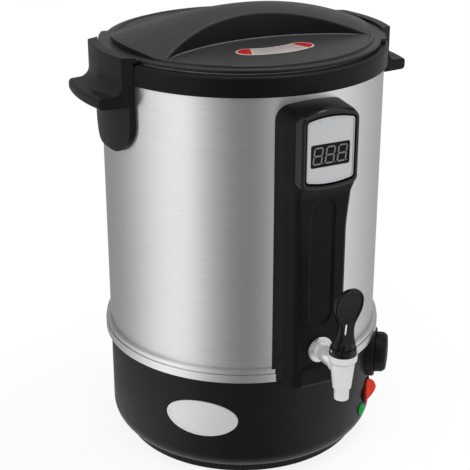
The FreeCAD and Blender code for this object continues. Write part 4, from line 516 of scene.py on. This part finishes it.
def track_dent(across, level):
    """Depth of the grip track at a place on the column's face."""
    half, low, high, depth = TRACK
    nearest = min(max(level, low + half), high - half)
    outside = math.hypot(across, level - nearest) - half
    return depth * (1 - smooth(-1.1, 0.5, outside))


def pad_swell(across, level):
    """Height of the wedge pad under the tap."""
    half, top, rise, corner = PAD
    over = level - (top - corner)
    side = abs(across) - (half - corner)
    if over > 0 and side > 0:
        outside = math.hypot(over, side) - corner
    else:
        outside = max(over, side) - corner
    return rise * (1 - smooth(-2.2, 0.2, outside))


def head_half(depth):
    """Half width of the head at a depth."""
    first, last = COLUMN_BASE, HEAD_SHOULDER
    if depth >= HEAD_SHOULDER[1]:
        first, last = HEAD_SHOULDER, HEAD_FRONT
    return blend(first[0], last[0], held((depth - first[1]) / (last[1] - first[1])))


def head_top(across, depth):
    """Level of the head's crown, arched and rounded down at its sides."""
    share = held((depth - CROWN_BACK[0]) / (CROWN_FRONT[0] - CROWN_BACK[0]))
    side, arch, corner = [blend(back, front, share)
                          for back, front in zip(CROWN_BACK[1:], CROWN_FRONT[1:])]
    reach = held((abs(across) - (head_half(depth) - corner)) / corner)
    fall = corner * (1 - math.sqrt(1 - reach * reach))
    return side + arch * (1 - (across / COLUMN_BASE[0]) ** 2) - fall


def make_column_shell():
    """Column from its closed foot over the grip track to the display head's crown."""
    wall = COLUMN_BASE[1]
    foot = column_section(COLUMN_LOW)
    sole = drawn_in(foot, FOOT_ROUND)
    rings = []
    for share in shares(4)[:-1]:
        rings.append([(point.x, -blend(wall, point.y, share), COLUMN_LOW) for point in sole])
    for share in shares(4):
        angle = math.radians(90 * share)
        row = drawn_in(foot, FOOT_ROUND * (1 - math.sin(angle)))
        level = COLUMN_LOW + FOOT_ROUND * (1 - math.cos(angle))
        rings.append([(point.x, -point.y - pad_swell(point.x, level) * PAD_FOOT_SHARE, level)
                      for point in row])
    level = COLUMN_LOW + 3.2
    while level < HEAD_LOW:
        face = column_corners(level)[2][1] - 0.5
        row = []
        for point in column_section(level):
            depth = point.y
            if depth > face:
                depth += pad_swell(point.x, level) - track_dent(point.x, level)
            row.append((point.x, -depth, level))
        rings.append(row)
        level += 1.0
    neck = HEAD_LOW + 1
    head = column_section(neck)
    for share in shares(15):
        rings.append([(point.x, -point.y,
                       blend(neck, head_top(point.x, point.y) - CROWN_ROUND, share))
                      for point in head])
    for share in shares(4, 1):
        angle = math.radians(90 * share)
        row = []
        for point in head:
            depth = point.y - CROWN_ROUND * (1 - math.cos(angle))
            top = head_top(point.x, depth) - CROWN_ROUND * (1 - math.sin(angle))
            row.append((point.x, -depth, top))
        rings.append(row)
    for share in shares(24, 1):
        row = []
        for point in head:
            depth = blend(point.y - CROWN_ROUND, wall, share)
            row.append((point.x, -depth, head_top(point.x, depth)))
        rings.append(row)
    finish_mesh("column_shell", skin(rings, closed_ring=False), COLUMN,
                "control_column", sharp=50.0)


def label_ring(half, low, high, low_arch, high_arch, corner, depth):
    """Closed ring at a depth, with straight sides, arched ends and round corners."""
    across = 14
    inner = half - corner
    points = []
    for end, limit, arch in ((-1, low, low_arch), (1, high, high_arch)):

        def edge_level(x):
            return limit + end * arch * (1 - (x / half) ** 2)

        centre = edge_level(inner) - end * corner
        bend = []
        for share in shares(8):
            off = polar(corner, math.radians(90 * share))
            bend.append((inner + off[0], centre + end * off[1]))
        points += [(end * x, level) for x, level in bend]
        for step in range(1, across):
            x = inner * (1 - 2 * step / across)
            points.append((end * x, edge_level(x)))
        points += [(-end * x, level) for x, level in reversed(bend)]
    return [(x, -depth, level) for x, level in points]


# rings of the bezel from its foot to its inner edge, in label_ring's order
BEZEL_RINGS = (
    (30.2, 300.5, 358.2, 2.5, 7.0, 9.0, 150.2),
    (29.6, 299.6, 358.9, 3.0, 7.2, 8.0, 152.5),
    (28.7, 299.2, 359.2, 3.0, 7.4, 7.0, 155.0),
    (27.9, 299.4, 358.9, 3.0, 7.3, 6.2, 157.2),
    (27.3, 299.9, 358.3, 3.0, 6.9, 5.8, 158.8),
    (26.6, 300.5, 357.8, 3.0, 6.4, 5.4, 159.6),
    (25.9, 301.2, 357.7, 3.0, 5.6, 5.0, 159.95),
    (24.7, 302.6, 358.1, 3.0, 4.6, 4.4, 160.0),
    (24.1, 303.4, 358.0, 3.0, 4.2, 4.2, 159.7),
    (23.9, 303.8, 357.8, 3.0, 3.9, 4.1, 158.9),
    (23.9, 303.8, 357.8, 3.0, 3.9, 4.1, 157.4),
)
# label inside its rim: half width, low end, high end, arch of both ends, corner
LABEL_EDGE = (21.6, 306.8, 355.8, 3.0, 2.0)
# rim of the label as (half width, depth)
RIM_EDGE = ((22.75, 158.0), (22.75, 159.0), (22.75, 159.55), (22.45, 159.8), (21.95, 159.8),
            (21.65, 159.5), (21.65, 158.6))
# frame of the window as (half width, half height, corner, depth)
WINDOW_EDGE = ((18.7, 10.0, 1.9, 158.9), (18.7, 10.0, 1.9, 159.3), (18.4, 9.7, 1.7, 159.45),
               (17.9, 9.2, 1.2, 159.45), (17.6, 8.9, 1.0, 159.2), (17.6, 8.9, 1.0, 158.9))
DISPLAY_LEVEL = 327.3


def make_bezel():
    """Raised frame round the label, the label's bright rim and the window's frame."""
    rings = [label_ring(*ring) for ring in BEZEL_RINGS]
    finish_mesh("display_bezel", skin(rings), BEZEL, "control_column")

    inside, low, high, arch, corner = LABEL_EDGE
    rings = []
    for half, depth in RIM_EDGE:
        grow = half - inside
        rings.append(label_ring(half, low - grow, high + grow, arch, arch, corner + grow, depth))
    finish_mesh("label_rim", skin(rings), RIM)

    rings = []
    for half, rise, corner, depth in WINDOW_EDGE:
        rings.append(label_ring(half, DISPLAY_LEVEL - rise, DISPLAY_LEVEL + rise, 0.0, 0.0,
                                corner, depth))
    finish_mesh("window_frame", skin(rings), WINDOW)


DIGIT_HALF = 3.9
DIGIT_RISE = 6.9
DIGIT_PITCH = 11.6
DIGIT_SLANT = math.tan(math.radians(7.0))
DIGIT_DEPTHS = (158.9, 159.06)
BAR_WIDTH = 1.25
BAR_GAP = 0.28
DOT_OFFSET = 1.35
DOT_RADIUS = 0.55


def pointed(low, high):
    """Corners (along, aside) of a bar with pointed ends."""
    half = BAR_WIDTH / 2
    return [(low, 0.0), (low + half, half), (high - half, half), (high, 0.0),
            (high - half, -half), (low + half, -half)]


def make_digits():
    """Three unlit seven-segment figures with their points, slanted, in the window."""
    data = bmesh.new()

    def plate(corners, centre):
        lower, upper = [
            [data.verts.new((centre + x + z * DIGIT_SLANT, -depth, DISPLAY_LEVEL + z))
             for x, z in corners] for depth in DIGIT_DEPTHS]
        data.faces.new(upper)
        for index in range(len(corners)):
            on = (index + 1) % len(corners)
            data.faces.new((lower[index], lower[on], upper[on], upper[index]))

    reach = DIGIT_HALF - BAR_GAP
    for centre in (-DIGIT_PITCH, 0.0, DIGIT_PITCH):
        for z in (-DIGIT_RISE, 0.0, DIGIT_RISE):
            plate([(along, z + aside) for along, aside in pointed(-reach, reach)], centre)
        for x in (-DIGIT_HALF, DIGIT_HALF):
            for low, high in ((BAR_GAP, DIGIT_RISE - BAR_GAP), (BAR_GAP - DIGIT_RISE, -BAR_GAP)):
                plate([(x + aside, along) for along, aside in pointed(low, high)], centre)
        dot = [polar(DOT_RADIUS, angle) for angle in turns(10)]
        plate([(DIGIT_HALF + DOT_OFFSET + x, z - DIGIT_RISE) for x, z in dot], centre)
    finish_mesh("display_segments", data, SEGMENT, sharp=30.0)


# ------------------------------------------------------------------ tap

TAP_FRONT = -190.0
TAP_AXIS = Matrix.Translation((0, TAP_FRONT, 0))
SHANK_AXIS = facing_out(0, 142.5)
PIN_LEVEL = 161.5
# bonnet's scallops: how many, how deep, and between which levels they grow
BONNET_SCALLOPS = 10
BONNET_SCALLOP_DEPTH = 0.5
BONNET_SCALLOP_RUN = (157.3, 159.2)


def make_tap_body():
    """Moulded tap: spout, stepped cone, collar that cups the bonnet, and the shank's socket."""
    turned("tap_moulding", [
        (4.4, 112.6), (6.5, 112.6, 0.5), (6.6, 122.6, 0.3), (8.1, 123.8, 0.6),
        (10.8, 148.6, 0.4), (11.3, 149.8, 0.3), (12.4, 150.8, 0.4), (12.7, 156.9, 0.5),
        (12.1, 156.9, 0.2), (12.0, 152.0), (4.4, 150.0),
    ], 96, TAP_AXIS, SILVER, "tap_body", 35.0)
    turned("tap_socket", [(7.55, 178.8), (8.1, 178.8, 0.3), (8.3, 186.0), (7.55, 186.0)],
           64, SHANK_AXIS, SILVER, "tap_body", 35.0)


def make_bonnet():
    """Glossy cup with a shallow scalloped rim, held by the tap's collar."""
    profile = rounded([
        (5.6, 150.0), (11.8, 150.0), (11.9, 156.6), (12.3, 157.2, 0.3), (12.2, 160.6, 1.2),
        (11.4, 163.2, 0.5), (10.9, 163.2, 0.3), (10.7, 152.2, 0.3), (5.6, 152.0)], True, 5)

    def scallop(angle, radius, level):
        if radius <= 11.0:
            return 0.0
        wave = 0.5 + 0.5 * math.cos(BONNET_SCALLOPS * angle)
        return BONNET_SCALLOP_DEPTH * wave * smooth(*BONNET_SCALLOP_RUN, level)

    finish_mesh("bonnet_dome", lathe(profile, 120, TAP_AXIS, scallop), GLOSS,
                "tap_bonnet")


# level, half width, half depth and outward lean of the lever's sections
LEVER = (
    (158.4, 9.8, 5.0, 0.0), (161.0, 10.1, 5.6, 0.0), (164.0, 10.1, 5.9, 0.2),
    (167.0, 9.7, 5.8, 0.8), (171.0, 8.3, 5.2, 1.6), (176.0, 7.3, 4.6, 2.4),
    (181.5, 7.1, 4.2, 3.0), (186.5, 7.7, 3.9, 3.5), (191.5, 9.8, 3.6, 4.1),
    (196.5, 12.1, 3.4, 4.7), (201.0, 13.5, 3.3, 5.2), (205.0, 13.9, 3.2, 5.7),
    (209.5, 13.5, 3.1, 6.6), (213.5, 12.1, 2.9, 7.5), (216.8, 9.9, 2.6, 8.3),
    (219.2, 7.2, 2.3, 9.0), (220.7, 4.2, 1.9, 9.5), (221.4, 1.4, 1.4, 9.8),
)
# the paddle's dish: level at which it starts, depth, and the rim's inner and outer width
DISH_LOW = 187.0
DISH_RUN = 6.0
DISH_DEPTH = 1.25
DISH_RIM = (0.9, 2.6)
HUB_RADIUS = 10.25
HUB_WALL = 1.2
HUB_LOBES = 6
HUB_LOBE_DEPTH = 0.8
INLAY_RUN = (178.2, 188.0)
INLAY_HALF = 0.72


def between_stations(table, level):
    """Smooth values between the rows of a table whose first column is the level."""
    last = len(table) - 1
    for index in range(last):
        if level <= table[index + 1][0] or index == last - 1:
            break
    before = table[max(index - 1, 0)]
    first = table[index]
    second = table[index + 1]
    after = table[min(index + 2, last)]
    run = second[0] - first[0]
    share = (level - first[0]) / run
    square = share * share
    cube = square * share
    values = []
    for column in range(1, len(first)):
        start = (second[column] - before[column]) / (second[0] - before[0]) * run
        end = (after[column] - first[column]) / (after[0] - first[0]) * run
        values.append((2 * cube - 3 * square + 1) * first[column]
                      + (cube - 2 * square + share) * start
                      + (3 * square - 2 * cube) * second[column] + (cube - square) * end)
    return values


def make_lever_blade():
    """Waisted lever whose paddle is dished inside a raised rim."""
    low, high = LEVER[0][0], LEVER[-1][0]
    outline = []
    for share in shares(240):
        level = blend(low, high, share)
        outline.append((between_stations(LEVER, level)[0], level))

    def dish(across, level):
        if level < DISH_LOW:
            return 0.0
        nearest = min(math.hypot(half - abs(across), edge - level) for half, edge in outline)
        start = smooth(DISH_LOW, DISH_LOW + DISH_RUN, level)
        return DISH_DEPTH * smooth(*DISH_RIM, nearest) * start

    rings = []
    for share in shares(110):
        level = blend(low, high, 1 - (1 - share) ** 1.5)
        half, thick, lean = between_stations(LEVER, level)
        half = max(half, 0.8)
        corner = min(half, thick) * 0.55
        inner = half - corner
        deep = thick - corner
        ring = []
        for part in shares(30):
            across = inner * (1 - 2 * part)
            ring.append((across, -thick + dish(across, level)))
        for x, y, start in ((-inner, -deep, 270), (-inner, deep, 180), (inner, deep, 90),
                            (inner, -deep, 0)):
            for part in shares(6, 1):
                off = polar(corner, math.radians(start - 90 * part))
                ring.append((x + off[0], y + off[1]))
        rings.append([(across, TAP_FRONT - lean + back, level) for across, back in ring[:-1]])
    finish_mesh("lever_blade", skin(rings, caps=True), LEVER_BLACK,
                "tap_lever", "lever", 60.0)


def make_lever_hub():
    """Ball-shaped hub with soft lobes: it turns inside the bonnet's cup about the pin."""
    shell = []
    for surface, lifts in ((HUB_RADIUS, shares(24)), (HUB_RADIUS - HUB_WALL, shares(24)[::-1])):
        for share in lifts:
            lift = blend(-20.0, 80.0, share)
            up = math.sin(math.radians(lift))
            out = math.cos(math.radians(lift))
            ring = []
            for angle in turns(72):
                wave = 0.5 + 0.5 * math.cos(HUB_LOBES * angle)
                far = surface - HUB_LOBE_DEPTH * wave ** 3 * smooth(-16.0, 5.0, lift)
                ring.append((far * out * math.sin(angle),
                             TAP_FRONT - far * out * math.cos(angle), PIN_LEVEL + far * up))
            shell.append(ring)
    finish_mesh("lever_hub", skin(shell, closed_path=True), GLOSS,
                body="lever", sharp=50.0)


def make_lever_inlay():
    """Pale inlay down the lever's neck, left of its middle and leaning with it."""
    steps = 12
    rows = []
    for step in range(steps + 1):
        level = blend(*INLAY_RUN, step / steps)
        thick, lean = between_stations(LEVER, level)[1:]
        face = TAP_FRONT - lean - thick
        middle = 0.06 * (level - 180.0) - 2.9
        wide = (0.35, 0.6, INLAY_HALF)[min(step, steps - step, 2)]
        row = []
        for share, rise in ((-1, -0.3), (-1, 0.12), (-0.7, 0.25), (0.7, 0.25), (1, 0.12),
                            (1, -0.3)):
            row.append((middle + wide * share, face - rise, level))
        rows.append(row)
    finish_mesh("lever_inlay", skin(rows, caps=True), INLAY, body="lever")


def make_shank():
    """Plated shank with a stepped flange, and a dark ring against the column that paints the
    shadow round the flange.
    """
    turned("shank_plated", [(5.0, 107.0), (7.5, 107.0), (7.5, 180.0), (5.0, 180.0)],
           96, SHANK_AXIS, SHANK, "tap_shank", 35.0)
    turned("shank_flange", [
        (7.5, 151.2), (12.3, 151.2, 0.4), (12.3, 153.2, 0.7), (10.9, 153.9, 0.6),
        (9.4, 153.3, 0.3), (8.3, 153.4, 0.3), (7.9, 153.0, 0.2), (7.5, 153.0),
    ], 96, SHANK_AXIS, FLANGE, "tap_shank", 35.0, 5)
    # dark ring wider than the flange: painted shadow round the flange on the column
    turned("shank_shadow_ring", [
        (7.6, 150.6), (13.0, 150.6), (13.0, 151.5, 0.3), (12.5, 151.8, 0.2), (7.6, 151.8),
    ], 96, SHANK_AXIS, KNOB)


# ------------------------------------------------------------------ handles

HANDLE_SCREW_LEVEL = 335.0
HANDLE_SCREW_OFFSET = 18.0
HANDLE_PLUG_OFFSET = 19.2
HANDLE_TAB_RADIUS = 135.0


def make_handle_screws():
    """Screws that hold the handles from inside the barrel."""
    profile = rounded([(0.0, 124.2), (3.0, 124.2, 0.8), (3.2, 126.6), (1.7, 126.6),
                       (1.7, 130.2), (0.4, 130.8)], False)
    data = bmesh.new()
    for side in (-1, 1):
        for offset in (-HANDLE_SCREW_OFFSET, HANDLE_SCREW_OFFSET):
            place = (Matrix.Translation((0, offset, 0))
                     @ facing_out(90 * side, HANDLE_SCREW_LEVEL))
            lathe(profile, 16, place, closed=False, data=data)
    finish_mesh("handle_screw_set", data, ZINC, "handle_screws")


def make_handle_plugs():
    """Flush plugs where the handle screws' holes come near the tabs' outer face."""
    profile = [(0.02, 131.0), (3.2, 131.0), (3.2, 135.33, 0.1), (0.02, 135.36)]
    turn = math.degrees(math.asin(HANDLE_PLUG_OFFSET / HANDLE_TAB_RADIUS))
    for side, hand in ((-1, "left"), (1, "right")):
        for end, word in ((-1, "front"), (1, "rear")):
            place = facing_out(side * (90.0 + end * turn), HANDLE_SCREW_LEVEL)
            turned("%s_plug_%s" % (hand, word), profile, 40, place, HANDLE,
                   bend=3)


# ------------------------------------------------------------------ controls on the base

ROCKER_AXIS = facing_out(44.8, 46.5)
ROCKER_PIVOT = 128.0
ROCKER_RADIUS = 11.8
ROCKER_TILT = 13.0
# middle height of the rocker's face over its pivot, and how far its halves rise to a point
ROCKER_FACE = 3.1
ROCKER_POINT = 2.2
# outer share of the face that its edge rounds, and how far it falls there
ROCKER_EDGE = 0.93
ROCKER_EDGE_FALL = 0.55
DIAL_AXIS = facing_out(51.5, 82.4)
DIAL_FACE = 135.4
KNOB_GAP = 0.5
KNOB_HEIGHT = 11.8
KNOB_SCALLOPS = 9
KNOB_SCALLOP_DEPTH = 0.7
LAMP_AXIS = facing_out(37.1, 34.0)


def make_rocker():
    """Round V-shaped rocker: one half sinks into its frame, the other stands out.
    The sunk half is coloured a darker red as painted shade.
    """
    radius = ROCKER_RADIUS
    slope = math.tan(math.radians(ROCKER_TILT))
    rings = [[(*polar(radius, angle), low) for angle in turns(72)] for low in (-3.0, 0.0)]
    for share in shares(14)[::-1]:
        ring = []
        for angle in turns(72):
            across, up = polar(radius * share, angle)
            out = ROCKER_FACE + slope * math.sqrt(across * across + 0.6)
            if share > ROCKER_EDGE:
                out -= ROCKER_EDGE_FALL * ((share - ROCKER_EDGE) / (1 - ROCKER_EDGE)) ** 2
            peak = (1.0 - abs(up) / radius) * smooth(0.15, 0.95, abs(across) / radius)
            ring.append((across, up, out + ROCKER_POINT * peak))
        rings.append(ring)
    place = (ROCKER_AXIS @ Matrix.Translation((0, 0, ROCKER_PIVOT))
             @ Matrix.Rotation(math.radians(-ROCKER_TILT), 4, "Y"))
    data = skin(rings)
    bmesh.ops.transform(data, matrix=place, verts=data.verts)
    lens = finish_mesh("rocker_lens", data, RED, "rocker", "rocker", 28.0)
    # the near half gets the darker red copy, painted shade where that half lies in shadow
    lens.data.materials.append(RED_SHADED)
    back = place.inverted()
    for face in lens.data.polygons:
        centre = back @ (Vector(face.center) / MM)
        face.material_index = 1 if centre.x < 0.0 else 0


def make_rocker_frame():
    """Thin flange and well of the round switch."""
    turned("rocker_ring", [
        (12.3, 119.5), (12.3, 128.6), (12.95, 129.2), (12.95, 130.7, 0.1), (13.3, 130.8, 0.2),
        (13.6, 129.6), (13.0, 128.0), (13.0, 119.5),
    ], 96, ROCKER_AXIS, KNOB, "rocker_frame")
    turned("rocker_well", [(0.02, 118.0), (12.4, 118.0), (12.4, 119.6), (0.02, 119.6)],
           48, ROCKER_AXIS, KNOB, "rocker_frame")


def make_lamp():
    """Domed lamp lens in a thin dark ring."""
    turned("lamp_dome", [
        (0.02, 133.5), (2.4, 133.3), (4.4, 132.4), (5.8, 130.8), (6.1, 129.6, 0.3),
        (6.1, 127.5), (0.02, 127.5),
    ], 64, LAMP_AXIS, GREEN, "indicator_lens")
    turned("lamp_ring", [
        (6.1, 127.4), (7.1, 127.4), (7.0, 130.2, 0.4), (6.4, 130.5, 0.3), (6.1, 130.0),
    ], 64, LAMP_AXIS, KNOB, "indicator_bezel")


def make_knob():
    """Dial knob with a softly domed face, a rounded rim and shallow finger scallops."""
    back = DIAL_FACE + KNOB_GAP
    face = DIAL_FACE + KNOB_HEIGHT
    profile = rounded([
        (17.4, back), (19.9, back, 0.3), (19.9, face - 4.6, 3.0), (17.2, face - 0.9, 3.2),
        (9.0, face - 0.1), (0.02, face), (0.02, face - 3.0), (15.5, face - 3.6),
        (17.4, face - 5.5)], True, 6)

    def scallop(angle, radius, out):
        hollow = KNOB_SCALLOP_DEPTH * (0.5 + 0.5 * math.cos(KNOB_SCALLOPS * angle)) ** 2
        return hollow * smooth(13.0, 18.0, radius) * smooth(back, back + 2.5, out)

    finish_mesh("dial_knob", lathe(profile, 144, DIAL_AXIS, scallop), KNOB,
                "thermostat_knob", "dial", 50.0)


# ------------------------------------------------------------------ lid

LID_FLOOR = 395.15
# strip: radius of its middle line, half widths and heights of its border and its inside
STRIP_RADIUS = 68.4
STRIP_BORDER = (11.0, 0.20)
STRIP_INSIDE = (9.6, 0.30)
RIDGE_HALF_WIDTH = 21.5
RIDGE_PLAN_RADIUS = 165.0
# bead along the ridge's foot: reach each way, radius, and the run over which it thins out
BEAD_REACH = 99.0
BEAD_RADIUS = 0.75
BEAD_THINNING = 14.0


def strip(name, start, end, size, material, round_start=False, round_end=False):
    """Piece of a strip that runs round the lid's axis between two angles."""
    start = math.radians(start)
    end = math.radians(end)
    reach, rise = size
    rows = []
    for share in shares(64):
        angle = blend(start, end, 0.5 - 0.5 * math.cos(math.pi * share))
        half = reach
        for bent, run in ((round_start, angle - start), (round_end, end - angle)):
            near = run * STRIP_RADIUS
            if bent and near < reach:
                half = max(math.sqrt(max(reach ** 2 - (reach - near) ** 2, 0.0)), 0.15)
        row = []
        for across, up in ((-1.0, 0.0), (-1.0, 0.7), (-0.98, 1.0), (0.98, 1.0), (1.0, 0.7),
                           (1.0, 0.0)):
            far = STRIP_RADIUS + across * half
            row.append((far * math.sin(angle), -far * math.cos(angle), LID_FLOOR + up * rise))
        rows.append(row)
    finish_mesh(name, skin(rows, caps=True), material, body="lid")


def make_lid_strip():
    """Plain curved strip on the lid's front floor, pale with red ends, no wording."""
    strip("lid_strip_border", -32.0, 31.5, STRIP_BORDER, STRIP_EDGE, True, True)
    strip("lid_strip_left", -31.0, -20.6, STRIP_INSIDE, STRIP_RED, True, False)
    strip("lid_strip_right", 20.4, 30.5, STRIP_INSIDE, STRIP_RED, False, True)
    strip("lid_strip_middle", -19.6, 19.4, STRIP_INSIDE, STRIP_GREY)


def make_ridge_foot():
    """Fine bead where the grip ridge's front and rear walls meet the lid's floor; its pale grey
    is a painted highlight.
    """
    for side, name in ((-1, "ridge_foot_front"), (1, "ridge_foot_rear")):
        rows = []
        for share in shares(96):
            across = blend(-BEAD_REACH, BEAD_REACH, share)
            rest = math.sqrt(RIDGE_PLAN_RADIUS ** 2 - across * across)
            foot = RIDGE_HALF_WIDTH + RIDGE_PLAN_RADIUS - rest + 0.35
            left = BEAD_REACH + 0.5 - abs(across)
            size = BEAD_RADIUS * min(1.0, left / BEAD_THINNING)
            out = Vector((-across / rest, 1.0)).normalized()
            row = []
            for part in shares(8):
                off, up = polar(size, math.pi * part)
                row.append((across + out.x * off, side * (foot + out.y * off),
                            LID_FLOOR + up))
            rows.append(row)
        finish_mesh(name, skin(rows, closed_ring=False), BEAD_HIGHLIGHT,
                    body="lid", sharp=60.0)


# ------------------------------------------------------------------ camera, light and floor
# lengths here are in metres

WHITE = (1, 1, 1, 1)
# share of white that the floor shows at the object, and the distances over which it gets full
FLOOR_WHITE = 0.86
FLOOR_FADE = (0.3, 1.1)


def make_camera():
    lens = bpy.data.cameras.new("camera")
    lens.lens = 92.4
    lens.sensor_width = 36.0
    lens.clip_start = 0.05
    eye = bpy.data.objects.new("camera", lens)
    eye.location = (-0.4992, -0.9655, 0.6496)
    aim = Vector((-0.0058, 0.0030, 0.1960)) - eye.location
    eye.rotation_euler = aim.to_track_quat("-Z", "Y").to_euler()
    SCENE.collection.objects.link(eye)
    SCENE.camera = eye


def seen_factor(tree):
    """One for camera, glossy and transmission rays."""
    path = node(tree, "LightPath").outputs
    seen = calculate(tree, "ADD", path["Is Camera Ray"], path["Is Glossy Ray"])
    return calculate(tree, "ADD", seen, path["Is Transmission Ray"], clamp=True)


def mix_shaders(tree, share, first, second, target):
    mix = node(tree, "MixShader")
    for socket, source in zip(mix.inputs, (share, first, second)):
        tree.links.new(source, socket)
    tree.links.new(mix.outputs["Shader"], target.inputs["Surface"])


def make_world():
    """Soft plain light that shows as white where it is seen."""
    world = bpy.data.worlds.new("studio")
    SCENE.world = world
    world.use_nodes = True
    tree = world.node_tree
    base = tree.nodes["Background"]
    base.inputs["Color"].default_value = WHITE
    base.inputs["Strength"].default_value = 0.72
    seen = node(tree, "Background", Color=WHITE, Strength=1.0)
    mix_shaders(tree, seen_factor(tree), base.outputs["Background"],
                seen.outputs["Background"], tree.nodes["World Output"])


def make_floor():
    """Pale floor that keeps the object's shadow and fades to white away from it."""
    reach = 4.0
    data = bmesh.new()
    data.faces.new([data.verts.new((x * reach, y * reach, 0))
                    for x, y in ((-1, -1), (1, -1), (1, 1), (-1, 1))])
    floor = add_object("floor", data)
    material, tree, shader = new_material("floor")
    shader.inputs["Base Color"].default_value = (0.95, 0.95, 0.95, 1)
    shader.inputs["Roughness"].default_value = 0.9
    shader.inputs["Specular IOR Level"].default_value = 0.0
    glow = node(tree, "Emission", Color=WHITE, Strength=1.0)
    away = node(tree, "VectorMath", operation="LENGTH")
    tree.links.new(object_place(tree), away.inputs[0])
    fade = mapped(tree, away.outputs["Value"], FLOOR_FADE, (FLOOR_WHITE, 1.0))
    share = calculate(tree, "MULTIPLY", seen_factor(tree), fade)
    mix_shaders(tree, share, shader.outputs["BSDF"], glow.outputs["Emission"],
                tree.nodes["Material Output"])
    floor.data.materials.append(material)


# light levels round the tent, by degrees from the camera's side toward the right
TENT = ((-180, 0.38), (-135, 0.34), (-114, 0.38), (-97, 0.49), (-84, 0.66), (-73, 0.87),
        (-63, 1.05), (-50, 1.16), (-38, 1.05), (-30, 0.85), (-23, 0.62), (-15, 0.44),
        (-7, 0.31), (2, 0.25), (10, 0.29), (18, 0.41), (27, 0.68), (38, 1.0), (52, 1.10),
        (75, 0.93), (99, 0.68), (122, 0.50), (150, 0.42), (180, 0.38))
CAMERA_BEARING = -27.0
TENT_FLOOR = 0.0005
TENT_RADIUS = 0.37
TENT_HEIGHT = 1.3


def make_tent():
    """Round light tent that only reflections see: bright panels left and right, a dark gap
    between them, and a ring on the floor under the base's edge."""
    rows = []
    for reach, level in ((0.14, TENT_FLOOR), (TENT_RADIUS, TENT_FLOOR),
                         (TENT_RADIUS, TENT_HEIGHT)):
        rows.append([(reach * math.sin(angle), -reach * math.cos(angle), level)
                     for angle in turns(96)])
    tent = add_object("tent", skin(rows))
    tent.rotation_euler = (0, 0, math.radians(CAMERA_BEARING))
    tent.visible_camera = False
    tent.visible_diffuse = False
    tent.visible_shadow = False
    tent.visible_transmission = False
    material = bpy.data.materials.new("tent")
    material.use_nodes = True
    tree = material.node_tree
    tree.nodes.clear()
    split = node(tree, "SeparateXYZ")
    tree.links.new(object_place(tree), split.inputs["Vector"])
    depth = calculate(tree, "MULTIPLY", split.outputs["Y"], -1.0)
    bearing = calculate(tree, "ARCTAN2", split.outputs["X"], depth)
    share = calculate(tree, "MULTIPLY_ADD", bearing, 1 / (2 * math.pi), 0.5)
    ramp = node(tree, "ValToRGB")
    stops = ramp.color_ramp.elements
    while len(stops) < len(TENT):
        stops.new(0.5)
    for stop, (angle, level) in zip(stops, TENT):
        stop.position = (angle + 180) / 360
    for stop, (angle, level) in zip(stops, TENT):
        stop.color = (level, level, level, 1)
    tree.links.new(share, ramp.inputs["Fac"])
    glow = node(tree, "Emission", Strength=1.0)
    tree.links.new(ramp.outputs["Color"], glow.inputs["Color"])
    output = node(tree, "OutputMaterial")
    tree.links.new(glow.outputs["Emission"], output.inputs["Surface"])
    tent.data.materials.append(material)


# area lights: name, place, aim, width, height, power in watts
LIGHTS = (
    ("key_left", (-2.1, -0.7, 1.5), (0, 0, 0.25), 0.7, 1.6, 14.0),
    ("key_front", (-0.3, -1.1, 2.3), (0, -0.05, 0.3), 1.5, 0.22, 7.0),
    ("key_back", (1.2, 1.3, 1.0), (0.05, -0.05, 0.4), 0.8, 0.5, 2.5),
    ("key_top", (0.75, -0.1, 2.0), (0, -0.1, 0.35), 0.55, 0.55, 11.0),
)


def make_lights():
    for name, place, aim, width, height, power in LIGHTS:
        lamp = bpy.data.lights.new(name, "AREA")
        lamp.shape = "RECTANGLE"
        lamp.size = width
        lamp.size_y = height
        lamp.energy = power
        light = bpy.data.objects.new(name, lamp)
        light.location = place
        toward = Vector(aim) - Vector(place)
        light.rotation_euler = toward.to_track_quat("-Z", "Y").to_euler()
        SCENE.collection.objects.link(light)


make_column_shell()
make_bezel()
make_digits()
make_tap_body()
make_bonnet()
make_lever_blade()
make_lever_hub()
make_lever_inlay()
make_shank()
make_handle_screws()
make_handle_plugs()
make_rocker()
make_rocker_frame()
make_lamp()
make_knob()
make_lid_strip()
make_ridge_foot()
make_camera()
make_world()
make_floor()
make_tent()
make_lights()
SCENE.view_settings.view_transform = "Standard"
